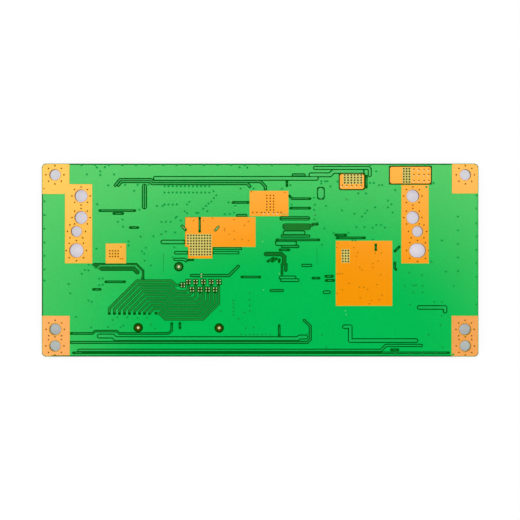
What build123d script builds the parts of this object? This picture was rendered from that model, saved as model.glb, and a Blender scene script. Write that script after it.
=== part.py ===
"""Timing controller board of a flat-panel television, lying with its solder side up.

The board rests on its connectors and inductors, so the parts hang below the laminate.
X runs along the board, Y across it and Z up; the origin is on the table, below its middle.
"""
from build123d import *
from math import cos, pi
import os

# ---------------------------------------------------------------- driving dimensions (mm)
board_length = 159.0
board_width = 70.3
corner_radius = 1.6
laminate = 1.5
copper = 0.08  # a copper foil together with its mask or plating
edge_pullback = 0.45  # bare rim between the copper and the board's edge
clearance = 0.34  # gap etched on each side of a trace
land_relief = 0.12  # where the mask stands back from a gold land
land_moat = 0.4  # gap etched round a land that is not on ground
land_chamfer = 0.5

# The layout is drawn on a grid of about one millimetre, this many steps along and across.
grid_columns = 159.0
grid_rows = 70.3

fixing_hole = 4.2  # corner screw holes
spring_hole = 4.4  # holes beside the lower corner holes
frame_hole = 4.8  # upper pair in each inner column
guide_hole = 4.1
datum_hole = 5.3
datum_slot = 6.1  # length of the slot that faces the datum hole

profile_height = 3.0  # the tallest parts: connectors and inductors

bus_pairs = 10
pair_pitch = 1.27  # between the pairs of the bus
pair_moat = 0.88  # whole width etched for a pair
line_width = 0.18
line_offset = 0.17  # from a pair's centre to each of its lines

fiducial_dot = 1.0
fiducial_window = 3.35
test_pad = 0.45
test_pad_pitch = 0.98
test_window = 1.75

lead_thickness = 0.15
body_draft = 0.14  # how far a moulded body leans in above and below its leads
standoff = 0.12  # air under a moulded body

controller_body = 14.0
controller_height = 1.5
controller_pitch = 0.8
controller_lead_count = 16  # on each side
controller_lead_width = 0.35
controller_reach = 1.0
controller_pad = 8.2

driver_height = 1.1
driver_width = 4.4
driver_pitch = 0.65
driver_lead_width = 0.26
driver_reach = 1.0
long_driver = 7.8
long_driver_lead_count = 10
short_driver = 5.0
short_driver_lead_count = 8

memory_length = 4.9
memory_width = 3.9
memory_height = 1.6
memory_pitch = 1.27
memory_lead_count = 4
memory_lead_width = 0.42
memory_reach = 1.05

regulator_width = 6.5
regulator_depth = 6.1
regulator_height = 2.3
tab_width = 5.3
tab_reach = 2.6
tab_thickness = 0.5
regulator_pin_width = 0.8
regulator_pin_thickness = 0.5
regulator_pin_pitch = 4.6
regulator_pin_reach = 2.6

contact_share = 0.4  # width of a contact, as a share of its connector's pitch
contact_thickness = 0.15
contact_reach = 1.1
input_contact_count = 24
input_pitch = 1.25
output_contact_count = 24
output_pitch = 0.8
input_depth = 5.4
input_setback = 1.1  # from the board's edge to the connector's mouth
input_shell = 0.2
output_depth = 5.6
output_setback = 0.9
housing_end = 3.0  # housing beyond the last contact
mouth_height = 1.2
mouth_depth = 3.6
mouth_end = 1.2
anchor_length = 1.6
anchor_width = 2.2

boost_inductor = 8.0
buck_inductor = 6.0
inductor_base = 0.4
inductor_gap = 0.25  # slit between the drum's flange and its shield
inductor_wall = 0.45  # the shield where it is thinnest
inductor_corner = 0.11  # cut off the shield's corners, as a share of its size
winding_gap = 0.08
inductor_flange = 0.55
drum_core = 0.45  # share of the flange left as the drum's waist
drum_side_count = 12

diode_length = 4.3
diode_width = 2.6
diode_height = 2.1
diode_tongue = 0.35
diode_tongue_width = 1.4
diode_fold = 0.6  # how far a diode lead turns back under the body

large_chip = (3.2, 2.5, 1.9)
small_chip = (1.6, 0.8, 0.8)
resistor_chip = (1.6, 0.8, 0.45)
large_chip_end = 0.5
small_chip_end = 0.3
termination_pitch = 1.48
termination_count = 12

crystal_size = (5.0, 3.2, 1.1)
crystal_base = 0.3
crystal_rim = 0.25

# ---------------------------------------------------------------- levels
seat = profile_height  # underside of the laminate, above the table
top = seat + laminate  # the laminate's upper face


# ---------------------------------------------------------------- layout helpers
def at(x, y):
    """A point of the layout grid, in millimetres from the board's middle."""
    return Vector(x * board_length / grid_columns, y * board_width / grid_rows)


def region(left, right, low, high):
    """A flat rectangle between two columns and two rows of the grid."""
    near, far = at(left, low), at(right, high)
    centre = (near + far) * 0.5
    return Pos(centre.X, centre.Y) * Rectangle(far.X - near.X, far.Y - near.Y)


def grown(rectangle, margin):
    """The rectangle with the same centre and a margin added all round."""
    box = rectangle.bounding_box()
    size = box.size
    middle = box.center()
    return Pos(middle.X, middle.Y) * Rectangle(size.X + 2 * margin, size.Y + 2 * margin)


def polygon(points):
    """A flat face with these corners."""
    return Face(Wire.make_polygon(points, close=True))


def band(points, width, shift=0.0, extra=0.0):
    """A flat band along grid points, mitred at its corners.

    shift moves it to its left, and extra lengthens both of its ends.
    """
    path = [at(*point) for point in points]
    ways = [(b - a).normalized() for a, b in zip(path, path[1:])]
    path[0] = path[0] - ways[0] * extra
    path[-1] = path[-1] + ways[-1] * extra
    left, right = [], []
    for index, point in enumerate(path):
        before = ways[max(index - 1, 0)]
        after = ways[min(index, len(ways) - 1)]
        side_before = Vector(-before.Y, before.X)
        side_after = Vector(-after.Y, after.X)
        mitre = (side_before + side_after) * (1 / (1 + side_before.dot(side_after)))
        left.append(point + mitre * (shift + width / 2))
        right.append(point + mitre * (shift - width / 2))
    return polygon(left + right[::-1])


def raise_faces(shapes, thickness=copper, level=top):
    """Each flat shape made a plate of this thickness, standing on the given level."""
    faces = [face for shape in shapes for face in shape.faces()]
    return [Pos(0, 0, level) * extrude(face, thickness, dir=(0, 0, 1)) for face in faces]


def write(name, shapes):
    """Write one node, as one solid or as a group of separate solids."""
    solids = [solid for shape in shapes for solid in shape.solids()]
    node = solids[0] if len(solids) == 1 else Compound(children=solids)
    export_step(node, f"parts/{name}.step")


# ---------------------------------------------------------------- holes
def hole_list():
    """Every round hole as its centre on the grid and its diameter."""
    corners = [(x, y, fixing_hole) for x in (-74.7, 74.7) for y in (31.05, -31.25)]
    springs = [(x, -25.2, spring_hole) for x in (-74.6, 74.6)]
    frames = [(x, y, frame_hole) for x in (-65.2, 55.6) for y in (23.35, 15.5)]
    guides = [(x, 10.45, guide_hole) for x in (-66.9, 57.3)]
    return corners + springs + frames + guides + [(-66.9, 3.5, datum_hole)]


def hole_faces():
    """Flat outlines of all the holes, the slot among them."""
    round_holes = [Pos(*at(x, y)) * Circle(size / 2) for x, y, size in hole_list()]
    return round_holes + [Pos(*at(57.3, 3.5)) * SlotOverall(datum_slot, datum_hole)]


def land_holes():
    """The same holes as openings in a plating, of ten sides round the bare wall."""
    sides = 10
    swell = 1 / cos(pi / sides)
    openings = [Pos(*at(x, y)) * RegularPolygon(size / 2 * swell, sides)
                for x, y, size in hole_list()]
    slot = RegularPolygon(datum_hole / 2 * swell, sides)
    stretch = (datum_slot - datum_hole) / 2
    middle = at(57.3, 3.5)
    ends = [Pos(middle.X + shift, middle.Y) * slot for shift in (-stretch, stretch)]
    web = Pos(middle.X, middle.Y) * Rectangle(2 * stretch, datum_hole * 0.99)
    return openings + ends + [web]


def board_outline(inset=0.0):
    """The board's rounded outline, brought in by the inset."""
    size = (board_length - 2 * inset, board_width - 2 * inset)
    return RectangleRounded(*size, max(corner_radius - inset, corner_radius / 4))


# ---------------------------------------------------------------- copper routes
# Each route is its line of grid points, the width of its copper and the number of lines
# that share its gap. Bars are short thin traces, which end in a via at both ends.
thin, medium, wide = 0.18, 0.4, 1.0


def edge_routes():
    """Strips that run along the upper and lower edges of the board."""
    upper = [
        ([(-52.9, 27.1), (-51.0, 29.3), (-39.7, 29.3), (-39.0, 28.6), (0.1, 28.6),
          (1.9, 26.8), (1.9, 25.7)], medium),
        ([(-51.7, 27.1), (-50.5, 28.6), (-40.0, 28.6), (-39.3, 27.85), (-4.7, 27.85),
          (-3.6, 26.7)], medium),
        ([(-38.6, 29.75), (20.9, 29.75)], wide - 0.05),
        ([(11.9, 31.0), (16.2, 31.0)], medium),
        ([(18.0, 31.05), (25.4, 31.05), (26.7, 32.3), (37.6, 32.3)], wide),
        ([(19.6, 33.55), (39.4, 33.55), (39.9, 33.05), (39.9, 30.6)], 0.7),
        ([(38.65, 30.7), (38.65, 26.4)], thin),
        ([(9.75, 28.9), (9.75, 27.0)], thin),
    ]
    lower = [
        ([(-68.9, -26.7), (-61.0, -26.7), (-60.1, -25.85), (-52.2, -25.85), (-51.3, -26.7),
          (-33.3, -26.7), (-32.2, -25.6), (-32.2, -22.9)], thin),
        ([(-59.1, -27.65), (-53.6, -27.65), (-52.6, -28.6), (13.6, -28.6), (14.3, -28.0),
          (17.1, -28.0)], wide),
        ([(-68.9, -29.95), (17.2, -29.95), (18.25, -28.9), (18.25, -24.0), (15.9, -21.8)],
         0.32),
        ([(-66.2, -32.85), (44.0, -32.85), (45.8, -31.05), (58.9, -31.05)], 0.42),
        ([(-68.1, -33.75), (68.7, -33.75)], thin),
        ([(30.2, -24.25), (32.8, -24.25), (32.8, -29.3), (57.2, -29.3)], 0.9),
        ([(6.95, -27.6), (6.95, -23.7)], thin),
        ([(-29.2, -24.8), (-29.2, -22.9)], thin),
        ([(47.7, -32.65), (50.3, -32.65)], thin),
    ]
    return upper + lower


def field_routes():
    """Short traces and bars in the middle of the board."""
    left = [
        ([(-58.5, 18.0), (-45.5, 18.0)], thin),
        ([(-53.4, 16.95), (-49.9, 16.95)], thin),
        ([(-47.4, 11.85), (-44.4, 11.85)], thin),
        ([(-42.5, 27.4), (-42.5, 18.9)], medium),
        ([(-41.75, 27.4), (-41.75, 18.9)], medium),
        ([(-35.9, 6.6), (-27.6, 6.6)], 0.9),
        ([(-31.0, 2.7), (-26.6, 2.7)], 0.5),
        ([(-31.2, 0.25), (-27.4, 0.25), (-26.9, -0.4)], 0.42),
        ([(-26.1, 0.1), (-24.4, 0.1)], thin),
        ([(-16.8, 4.2), (-6.9, 4.2)], medium),
        ([(-16.9, 2.7), (-7.9, 2.7)], 0.5),
        ([(-25.2, -5.62), (-11.3, -5.62), (-7.8, -2.1)], medium),
        ([(-6.8, -6.15), (0.0, -6.15)], thin),
        ([(-56.3, -7.9), (-49.3, -7.9)], thin),
        ([(-60.8, -10.65), (-58.1, -10.65)], thin),
        ([(-10.1, 21.0), (-4.2, 21.0)], thin),
        ([(-8.4, 16.25), (-5.0, 16.25)], 0.35),
    ]
    middle = [
        ([(22.1, 22.4), (22.1, 26.3)], 2.1),
        ([(10.6, 23.4), (11.7, 22.35), (18.3, 22.35)], thin),
        ([(11.0, 18.9), (18.2, 18.9)], thin),
        ([(8.6, 9.95), (16.1, 9.95)], 0.95),
        ([(19.3, 13.05), (20.9, 13.05)], thin),
        ([(7.9, 8.75), (17.9, 8.75)], medium),
        ([(6.0, 7.35), (21.5, 7.35)], thin),
        ([(5.8, 6.1), (13.0, 6.1)], 1.1),
        ([(7.9, 4.95), (13.9, 4.95)], medium),
        ([(7.1, 3.7), (10.6, 3.7)], thin),
        ([(4.9, 0.75), (2.7, -0.5)], thin),
        ([(6.1, 0.55), (4.3, -0.45)], thin),
        ([(7.05, 0.3), (6.9, -0.7)], thin),
        ([(7.2, -6.3), (12.8, -6.3)], 0.6),
        ([(7.6, -7.3), (13.9, -7.3)], 0.6),
        ([(15.4, -1.95), (18.6, -1.95)], 0.42),
        ([(19.1, -6.55), (21.6, -6.55)], thin),
        ([(3.8, -11.1), (8.3, -11.1)], 0.3),
        ([(23.2, -11.7), (25.3, -11.7)], 0.6),
    ]
    right = [
        ([(23.8, -5.9), (26.5, -5.9)], 0.3),
        ([(23.9, -7.4), (26.9, -7.4)], 0.3),
        ([(27.4, 9.15), (31.3, 9.15)], thin),
        ([(27.9, 8.1), (38.1, 8.1)], thin),
        ([(49.0, 3.2), (50.7, 4.9)], thin),
        ([(49.0, -0.9), (49.0, -2.9), (49.5, -3.5)], thin),
        ([(57.4, -17.25), (67.35, -17.25), (67.35, -19.1)], 0.85),
    ]
    return left + middle + right


def bundle_routes():
    """Parallel lines that share one gap, as the line of the middle and their number."""
    return [
        ([(-60.7, -1.7), (-45.1, -1.7), (-42.8, -4.0), (-42.8, -6.6)], 2),
        ([(-58.2, -3.1), (-46.0, -3.1), (-44.4, -4.7)], 3),
        ([(7.4, 15.2), (17.8, 15.2)], 3),
        ([(8.5, 12.2), (18.1, 12.2)], 5),
        ([(1.7, 2.2), (7.7, 2.2), (8.75, 1.15), (8.75, -1.45)], 3),
        ([(7.95, -1.5), (7.95, -5.2)], 1),
        ([(9.35, -1.5), (9.35, -3.9)], 2),
    ]


bus_row = -7.53  # level of the first pair's run to the right
bus_drop = 2.57  # from each such run to the lower one it falls to
bus_column, column_pitch = -54.9, 1.83  # where the pairs rise from their vias
bus_foot = -19.5  # level of those vias
climb_offset, climb_pitch = 37.25, 2.03  # y - x of the slopes that end the columns
fall_offset, rise_offset = -39.84, -0.76  # y + x of the falling slopes, y - x of the rising
last_start = (-38.0, -19.3)  # the last pair comes from inside the board, not from the row


def bus_route(pair):
    """The middle line of one pair of the bus, from its vias to its test pads.

    All the pairs turn through 45 degrees along common bisectors, one pitch apart.
    """
    step = pair_pitch * 2 ** 0.5  # along an axis, between lines that run at 45 degrees
    pad_x, pad_y = test_pad_places()[pair]
    upper = bus_row - pair_pitch * pair
    lower = upper - bus_drop
    falling = fall_offset - step * pair
    rising = rise_offset + step * (bus_pairs - 1 - pair)
    if pair == bus_pairs - 1:
        start, upper = [last_start], last_start[1]
    else:
        column = bus_column + column_pitch * pair
        climb = climb_offset - climb_pitch * pair
        start = [(column, bus_foot), (column, column + climb), (upper - climb, upper)]
    if pair == 0:
        return start + [(falling - upper, upper), (falling - pad_y, pad_y),
                        (pad_x - test_pad_pitch, pad_y)]
    rising = max(rising, lower + 0.8 - pad_x)  # so that every pair has an upright end
    turns = [(falling - upper, upper), (falling - lower, lower), (lower - rising, lower)]
    return start + turns + [(pad_x, pad_x + rising), (pad_x, pad_y - test_pad_pitch)]


def test_pad_places():
    """The middle of each group of four test pads, one group for each pair of the bus."""
    near_row, far_row = -7.9, -10.7
    columns = [-26.1, -24.8, -23.5, -21.9, -20.65, -19.1, -17.75, -16.4, -15.1]
    rows = [near_row, far_row] * bus_pairs
    return [(-28.1, -9.1)] + list(zip(columns, rows))


# ---------------------------------------------------------------- gold lands
def ground_lands():
    """Lands that are openings in the mask over ground copper, by node name."""
    side, end = grid_rows / 2, grid_columns / 2
    return {
        "land_left": [region(-end, -69.5, 24.15, side), region(-71.0, -61.2, -1.1, 27.6)],
        "land_top_right": [region(69.9, end, 24.3, side)],
        "land_right_column": [region(51.5, 61.3, -1.1, 27.3)],
        "land_bottom_left": [region(-end, -69.4, -side, -20.35)],
        "land_bottom_right": [region(69.8, end, -side, -20.35)],
        "land_upper_middle": [region(-3.75, 10.2, 16.1, 25.15)],
        "land_processor": [region(-27.25, -1.75, 4.9, 15.6), region(-27.25, -17.4, 5.9, 8.0),
                           region(-26.15, -17.4, 0.7, 8.0)],
        "land_left_middle": [region(-56.15, -48.9, -1.1, 6.0)],
        "land_heat_spreader": [region(27.65, 48.0, -16.55, 6.95)],
    }


def moated_lands():
    """Lands with a gap of their own all round, by node name."""
    return {
        "land_regulator": region(29.05, 37.8, 25.9, 31.3),
        "land_converter": region(47.3, 62.1, 27.9, 33.95),
    }


def land_traces():
    """Traces that cross a gold land in a window of their own."""
    return [
        ([(-22.0, 10.3), (-22.0, 15.3)], thin),
        ([(-28.5, 12.5), (-27.0, 10.95)], 0.3),
        ([(-15.1, 12.2), (-16.4, 10.75)], 0.3),
        ([(42.1, 3.6), (42.1, 5.7)], thin),
    ]


# ---------------------------------------------------------------- the solder side's sheets
def moat(points, width):
    """The gap round a route, as a band that is wider and longer than its copper."""
    return band(points, width + 2 * clearance, extra=clearance)


def bundle_width(lines):
    """Width of copper and gaps between the outer sides of several lines."""
    return lines * line_width + (lines - 1) * (2 * line_offset - line_width)


def build_solder_side():
    """Write the board, its ground pour, traces, lands, fiducials and test pads."""
    holes = hole_faces()
    write("board", raise_faces([board_outline() - holes], laminate, seat))

    routes = edge_routes() + field_routes()
    crossings = land_traces()
    bundles = bundle_routes()
    bus = [bus_route(pair) for pair in range(bus_pairs)]

    rim = board_outline(edge_pullback)
    inner = board_outline(edge_pullback * 0.55)
    lands = {name: Sketch() + parts for name, parts in ground_lands().items()}
    crossing_gaps = [moat(points, width) for points, width in crossings]
    for name, land in lands.items():
        write(name, raise_faces([(land & inner) - land_holes() - crossing_gaps]))
    islands = moated_lands()
    for name, land in islands.items():
        write(name, raise_faces([chamfer(land.vertices(), land_chamfer)]))

    windows = [grown(part, land_relief) for parts in ground_lands().values() for part in parts]
    windows += [grown(land, land_moat) for land in islands.values()]
    windows += [moat(points, width) for points, width in routes] + crossing_gaps
    windows += [moat(points, bundle_width(lines)) for points, lines in bundles]
    windows += [band(points, pair_moat, extra=clearance) for points in bus]
    windows += [Pos(*at(x, y)) * RegularPolygon(fiducial_window / 2, 12)
                for x, y in fiducial_places()]
    windows += [Pos(*at(x, y)) * Rectangle(test_window, test_window)
                for x, y in test_pad_places()]
    windows += [Pos(*at(*probe_place)) * Rectangle(test_window / 2, test_window)]
    write("ground_pour", raise_faces([rim - windows]))

    supply = [(points, width) for points, width in routes if width > medium]
    signal = [(points, width) for points, width in routes + crossings if width <= medium]
    write("supply_traces", raise_faces([band(*route) for route in supply]))
    write("signal_traces", raise_faces([band(*route) for route in signal]))
    write("bundle_traces", raise_faces(parallel_lines(bundles)))
    write("bus_traces", raise_faces(parallel_lines([(points, 2) for points in bus])))

    write("fiducial_dots", raise_faces(
        [Pos(*at(x, y)) * RegularPolygon(fiducial_dot / 2, 8) for x, y in fiducial_places()]))
    write("test_pads", raise_faces(test_pad_faces()))


def parallel_lines(bundles):
    """The copper of each bundle's lines, side by side about the bundle's middle."""
    faces = []
    for points, lines in bundles:
        shifts = [(2 * index - lines + 1) * line_offset for index in range(lines)]
        faces += [band(points, line_width, shift) for shift in shifts]
    return faces


def fiducial_places():
    """Grid points of the alignment marks."""
    return [(-29.6, -2.4), (-44.4, -24.6), (-14.9, -24.7)]


probe_place = (-21.4, -5.65)  # a lone pair of test pads above the bus


def test_pad_faces():
    """Four small square pads in each group, and the lone pair."""
    half = test_pad_pitch / 2
    square = Rectangle(test_pad, test_pad)
    faces = []
    for x, y in test_pad_places():
        middle = at(x, y)
        faces += [Pos(middle.X + dx, middle.Y + dy) * square
                  for dx in (-half, half) for dy in (-half, half)]
    middle = at(*probe_place)
    return faces + [Pos(middle.X, middle.Y + dy) * square for dy in (-half, half)]


# ---------------------------------------------------------------- component side helpers
def block(x, y, length, width, height, lift=0.0):
    """A box that hangs below the board, its middle at a grid point."""
    place = at(x, y)
    low = seat - lift - height
    return Pos(place.X, place.Y, low) * Box(
        length, width, height, align=(Align.CENTER, Align.CENTER, Align.MIN))


def moulded_body(x, y, length, width, height, mark=0.0):
    """A moulded package: drafted both ways from the band that its leads leave.

    mark is the size of the dimple beside its first lead.
    """
    place = at(x, y)
    levels = lead_levels(height)
    rings = [(standoff, body_draft), (levels[0], 0), (levels[1], 0), (height, body_draft)]
    sections = [Pos(place.X, place.Y, seat - depth)
                * Rectangle(length - 2 * inset, width - 2 * inset) for depth, inset in rings]
    body = loft(sections, ruled=True)
    if mark:
        corner = Pos(place.X - length / 2 + 1.6 * mark, place.Y + width / 2 - 1.6 * mark)
        dimple = extrude(RegularPolygon(mark / 2, 12), copper * 2)
        body = body - Pos(0, 0, seat - height) * corner * dimple
    return body


def lead_levels(height):
    """Depths below the board of the upper and lower faces of a lead where it leaves."""
    middle = (standoff + height) / 2
    return middle - lead_thickness / 2, middle + lead_thickness / 2


def gull_lead(height, reach, lead_width, fine=True):
    """One gull-wing lead, leaving along +X from the origin and ending on the board.

    A fine lead has no separate knee and shoulder.
    """
    near, far = lead_levels(height)
    foot = reach * 0.5
    bend = reach * 0.22
    profile = [(0, -far), (reach, -lead_thickness), (reach, 0), (foot, 0), (0, -near)]
    if not fine:
        profile = [(0, -far), (bend, -far), (foot + lead_thickness, -lead_thickness),
                   (reach, -lead_thickness), (reach, 0), (foot, 0),
                   (bend - lead_thickness, -near), (0, -near)]
    side = Plane.XZ * polygon([Vector(*point) for point in profile])
    return Pos(0, 0, seat) * extrude(side, lead_width / 2, both=True)


def lead_rows(x, y, width, count, pitch, lead, turns):
    """Rows of leads on the sides of a package that face these directions, in degrees."""
    place = at(x, y)
    middle = Pos(place.X, place.Y)
    return [middle * Rot(0, 0, turn) * Pos(width / 2, (index - (count - 1) / 2) * pitch) * lead
            for turn in turns for index in range(count)]


def chips(places, size, end):
    """Chip parts as their bodies and their metal ends; turned ones lie along Y."""
    length, width, height = size
    bodies, ends = [], []
    for x, y, turned in places:
        place = at(x, y)
        frame = Pos(place.X, place.Y, seat - height) * Rot(0, 0, 90 if turned else 0)
        low = (Align.CENTER, Align.CENTER, Align.MIN)
        bodies.append(frame * Box(length - 2 * end, width, height, align=low))
        ends += [frame * Pos(side * (length - end) / 2, 0) * Box(end, width, height, align=low)
                 for side in (-1, 1)]
    return bodies, ends


# ---------------------------------------------------------------- component places
controller_place = (-21.7, 5.5)
power_place = (31.1, 1.5)
reference_place = (3.7, 20.9)
shifter_place = (-53.2, 2.4)
converter_place = (53.35, 30.4)
memory_place = (-41.5, 11.5)
regulator_place = (33.4, 24.6)
crystal_place = (-40.8, -1.2)
boost_place = (41.0, -8.0)
buck_place = (65.4, 22.0)
input_centre = -26.6
output_centres = {"left": -47.3, "right": 2.5}


def large_capacitor_places():
    """Storage capacitors round the power circuits."""
    return [(39.0, 13.4, True), (43.2, 13.4, True), (47.4, 13.4, True), (46.6, 20.4, False),
            (42.6, 26.4, False), (52.6, -14.0, True), (57.0, -14.0, True), (26.0, -10.0, True),
            (65.6, 14.6, False)]


def small_capacitor_places():
    """Decoupling capacitors round the chips."""
    beside = [(-33.2, y, False) for y in (11.0, 8.6, 0.6, -1.8)]
    below = [(x, -5.6, True) for x in (-28.4, -21.7, -15.0)]
    above = [(x, 16.4, True) for x in (-28.4, -15.0)]
    others = [(11.2, 17.4, False), (11.2, 24.4, False), (24.4, -1.4, False)]
    return beside + below + above + others


def resistor_places():
    """The input's terminations, one for each pair that comes in."""
    reach = (termination_count - 1) * termination_pitch / 2
    start = input_centre * board_length / grid_columns - reach
    to_grid = grid_columns / board_length
    return [((start + index * termination_pitch) * to_grid, 24.9, True)
            for index in range(termination_count)]


def diode_places():
    """Rectifiers of the boost and charge-pump stages."""
    return [(31.6, -12.6), (50.6, -7.6), (58.6, -7.6)]


# ---------------------------------------------------------------- component builders
def build_controller():
    """Write the timing controller: moulded body, leads on four sides and die pad."""
    body = moulded_body(*controller_place, controller_body, controller_body,
                        controller_height, mark=1.0)
    lead = gull_lead(controller_height, controller_reach, controller_lead_width)
    write("timing_controller_body", [body])
    write("timing_controller_leads", lead_rows(
        *controller_place, controller_body, controller_lead_count, controller_pitch, lead,
        (0, 90, 180, 270)))
    write("timing_controller_pad", [block(*controller_place, controller_pad, controller_pad,
                                          standoff)])


def build_drivers():
    """Write the narrow packages, which have leads on their two long sides."""
    lead = gull_lead(driver_height, driver_reach, driver_lead_width)
    for name, place, length, count in (
            ("power_chip", power_place, long_driver, long_driver_lead_count),
            ("reference_chip", reference_place, long_driver, long_driver_lead_count),
            ("level_shifter", shifter_place, short_driver, short_driver_lead_count),
            ("converter_chip", converter_place, short_driver, short_driver_lead_count)):
        body = moulded_body(*place, driver_width, length, driver_height, mark=0.6)
        write(f"{name}_body", [body])
        write(f"{name}_leads", lead_rows(*place, driver_width, count, driver_pitch, lead,
                                         (0, 180)))


def build_memory():
    """Write the flash memory, a small package with four leads on each long side."""
    body = moulded_body(*memory_place, memory_width, memory_length, memory_height, mark=0.6)
    lead = gull_lead(memory_height, memory_reach, memory_lead_width, False)
    write("flash_memory_body", [body])
    write("flash_memory_leads", lead_rows(*memory_place, memory_width, memory_lead_count,
                                          memory_pitch, lead, (0, 180)))


def build_regulator():
    """Write the linear regulator: its moulding, and its tab and two pins as one group."""
    place = at(*regulator_place)
    frame = Pos(place.X, place.Y, seat)
    half_depth = regulator_depth / 2
    sections = [Pos(0, 0, -depth) * Rectangle(regulator_width - 2 * inset,
                                              regulator_depth - 2 * inset)
                for depth, inset in ((tab_thickness, 0), (regulator_height, body_draft))]
    write("regulator_body", [frame * loft(sections, ruled=True)])
    pad = Pos(0, tab_reach / 2) * Box(tab_width, regulator_depth + tab_reach, tab_thickness,
                                      align=(Align.CENTER, Align.CENTER, Align.MAX))
    level = tab_thickness + regulator_pin_thickness
    knee, foot = regulator_pin_reach * 0.4, regulator_pin_reach * 0.6
    profile = [(0, -level), (0, -level - regulator_pin_thickness),
               (knee + regulator_pin_thickness / 2, -level - regulator_pin_thickness),
               (foot + regulator_pin_thickness / 2, -regulator_pin_thickness),
               (regulator_pin_reach, -regulator_pin_thickness), (regulator_pin_reach, 0),
               (foot, 0), (knee, -level)]
    side = Plane.XZ * polygon([Vector(*point) for point in profile])
    pin = extrude(side, regulator_pin_width / 2, both=True)
    pins = [Pos(offset, -half_depth) * Rot(0, 0, -90) * pin
            for offset in (-regulator_pin_pitch / 2, regulator_pin_pitch / 2)]
    write("regulator_leads", [frame * shape for shape in [pad, *pins]])


def build_inductor(name, place, size):
    """Write one shielded inductor: drum, shield, winding and two terminals."""
    spot = at(*place)
    frame = Pos(spot.X, spot.Y, seat)
    height = profile_height
    flange = size / 2 - inductor_wall - inductor_gap
    waist = flange * drum_core
    bore = flange + inductor_gap
    square = Rectangle(size, size)
    plan = chamfer(square.vertices(), size * inductor_corner) - RegularPolygon(bore, drum_side_count)
    shield = extrude(plan, -(height - inductor_base))
    write(f"{name}_shield", [frame * Pos(0, 0, -inductor_base) * shield])
    outline = [(0, -inductor_base), (flange, -inductor_base),
               (flange, -inductor_base - inductor_flange),
               (waist, -inductor_base - inductor_flange), (waist, -height + inductor_flange),
               (flange, -height + inductor_flange), (flange, -height), (0, -height)]
    drum = prism_of_revolution(outline, drum_side_count)
    write(f"{name}_core", [frame * drum])
    coil = extrude(RegularPolygon(flange - winding_gap, drum_side_count)
                   - RegularPolygon(waist + winding_gap, drum_side_count),
                   -(height - inductor_base - 2 * inductor_flange))
    write(f"{name}_winding", [frame * Pos(0, 0, -inductor_base - inductor_flange) * coil])
    low = (Align.CENTER, Align.CENTER, Align.MAX)
    terminal = Box(size * 0.22, size * 0.8, inductor_base, align=low)
    write(f"{name}_terminals", [frame * Pos(side * size * 0.36, 0) * terminal
                                for side in (-1, 1)])


def prism_of_revolution(outline, sides):
    """A turned shape of few flat sides: each step of the outline is one prism."""
    body = None
    steps = list(zip(outline[1:-1:2], outline[2:-1:2]))
    for (radius, upper), (_, lower) in steps:
        ring = Pos(0, 0, upper) * extrude(RegularPolygon(radius, sides), lower - upper)
        body = ring if body is None else body + ring
    return body


def build_connector(name, centre, contacts, pitch, depth, setback, edge, shelled):
    """Write one edge connector, as its housing, contact tails and shell; return its anchors.

    edge is 1 on the upper edge of the board and -1 on the lower one.
    """
    middle = centre * board_length / grid_columns
    row = (contacts - 1) * pitch
    length = row + 2 * housing_end
    front = board_width / 2 - setback
    frame = Pos(middle, 0, seat) * Rot(0, 0, 0 if edge > 0 else 180)
    skin = input_shell if shelled else 0
    height = profile_height - skin
    hang = (Align.CENTER, Align.MAX, Align.MAX)
    case = Pos(0, front) * Box(length, depth, height, align=hang)
    mouth = Pos(0, front, -(height - mouth_height) / 2) * Box(
        row + 2 * mouth_end, mouth_depth, mouth_height, align=hang)
    tongue_slot = Pos(0, front, -height) * Box(
        row, mouth_depth * 0.45, (height - mouth_height) / 2 * 0.6,
        align=(Align.CENTER, Align.MAX, Align.MIN))
    write(f"{name}_housing", [frame * (case - mouth - tongue_slot)])
    back = front - depth
    tail = Box(pitch * contact_share, contact_reach, contact_thickness, align=hang)
    write(f"{name}_contacts", [
        frame * Pos((index - (contacts - 1) / 2) * pitch, back) * tail
        for index in range(contacts)])
    ends = [frame * Pos(side * (length / 2 + skin), front - depth / 2) * Box(
        anchor_length, anchor_width, input_shell,
        align=(Align.MIN if side > 0 else Align.MAX, Align.CENTER, Align.MAX))
        for side in (-1, 1)]
    if shelled:
        outer = Box(length + 2 * skin, depth * 0.82, profile_height, align=hang)
        core = Box(length, depth, height, align=hang)
        windows = [Pos(side * length / 4, -depth * 0.45, -height - skin) * Box(
            length / 5, depth * 0.2, 3 * skin, align=Align.CENTER) for side in (-1, 0, 1)]
        shell = Pos(0, front) * (outer - core - windows)
        write(f"{name}_shell", [frame * shell])
    return ends


def build_connectors():
    """Write the input connector, the two output connectors and all their anchors."""
    anchors = build_connector("input_connector", input_centre, input_contact_count, input_pitch,
                              input_depth, input_setback, 1, True)
    for side, centre in output_centres.items():
        anchors += build_connector(f"{side}_output", centre, output_contact_count, output_pitch,
                                   output_depth, output_setback, -1, False)
    write("connector_anchors", anchors)


def build_chips():
    """Write the capacitors, resistors, diodes and crystal."""
    for name, places, size, end in (
            ("large_capacitor", large_capacitor_places(), large_chip, large_chip_end),
            ("small_capacitor", small_capacitor_places(), small_chip, small_chip_end),
            ("resistor", resistor_places(), resistor_chip, small_chip_end)):
        bodies, ends = chips(places, size, end)
        write(f"{name}_bodies", bodies)
        write(f"{name}_ends", ends)
    bodies, tongues = [], []
    for x, y in diode_places():
        bodies.append(moulded_body(x, y, diode_length, diode_width, diode_height))
        place = at(x, y)
        tongues += [Pos(place.X, place.Y) * Rot(0, 0, turn) * diode_lead() for turn in (0, 180)]
    write("diode_bodies", bodies)
    write("diode_leads", tongues)
    length, width, height = crystal_size
    write("crystal_base", [block(*crystal_place, length, width, crystal_base)])
    write("crystal_can", [block(*crystal_place, length - 2 * crystal_rim,
                                width - 2 * crystal_rim, height - crystal_base,
                                lift=crystal_base)])


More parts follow.
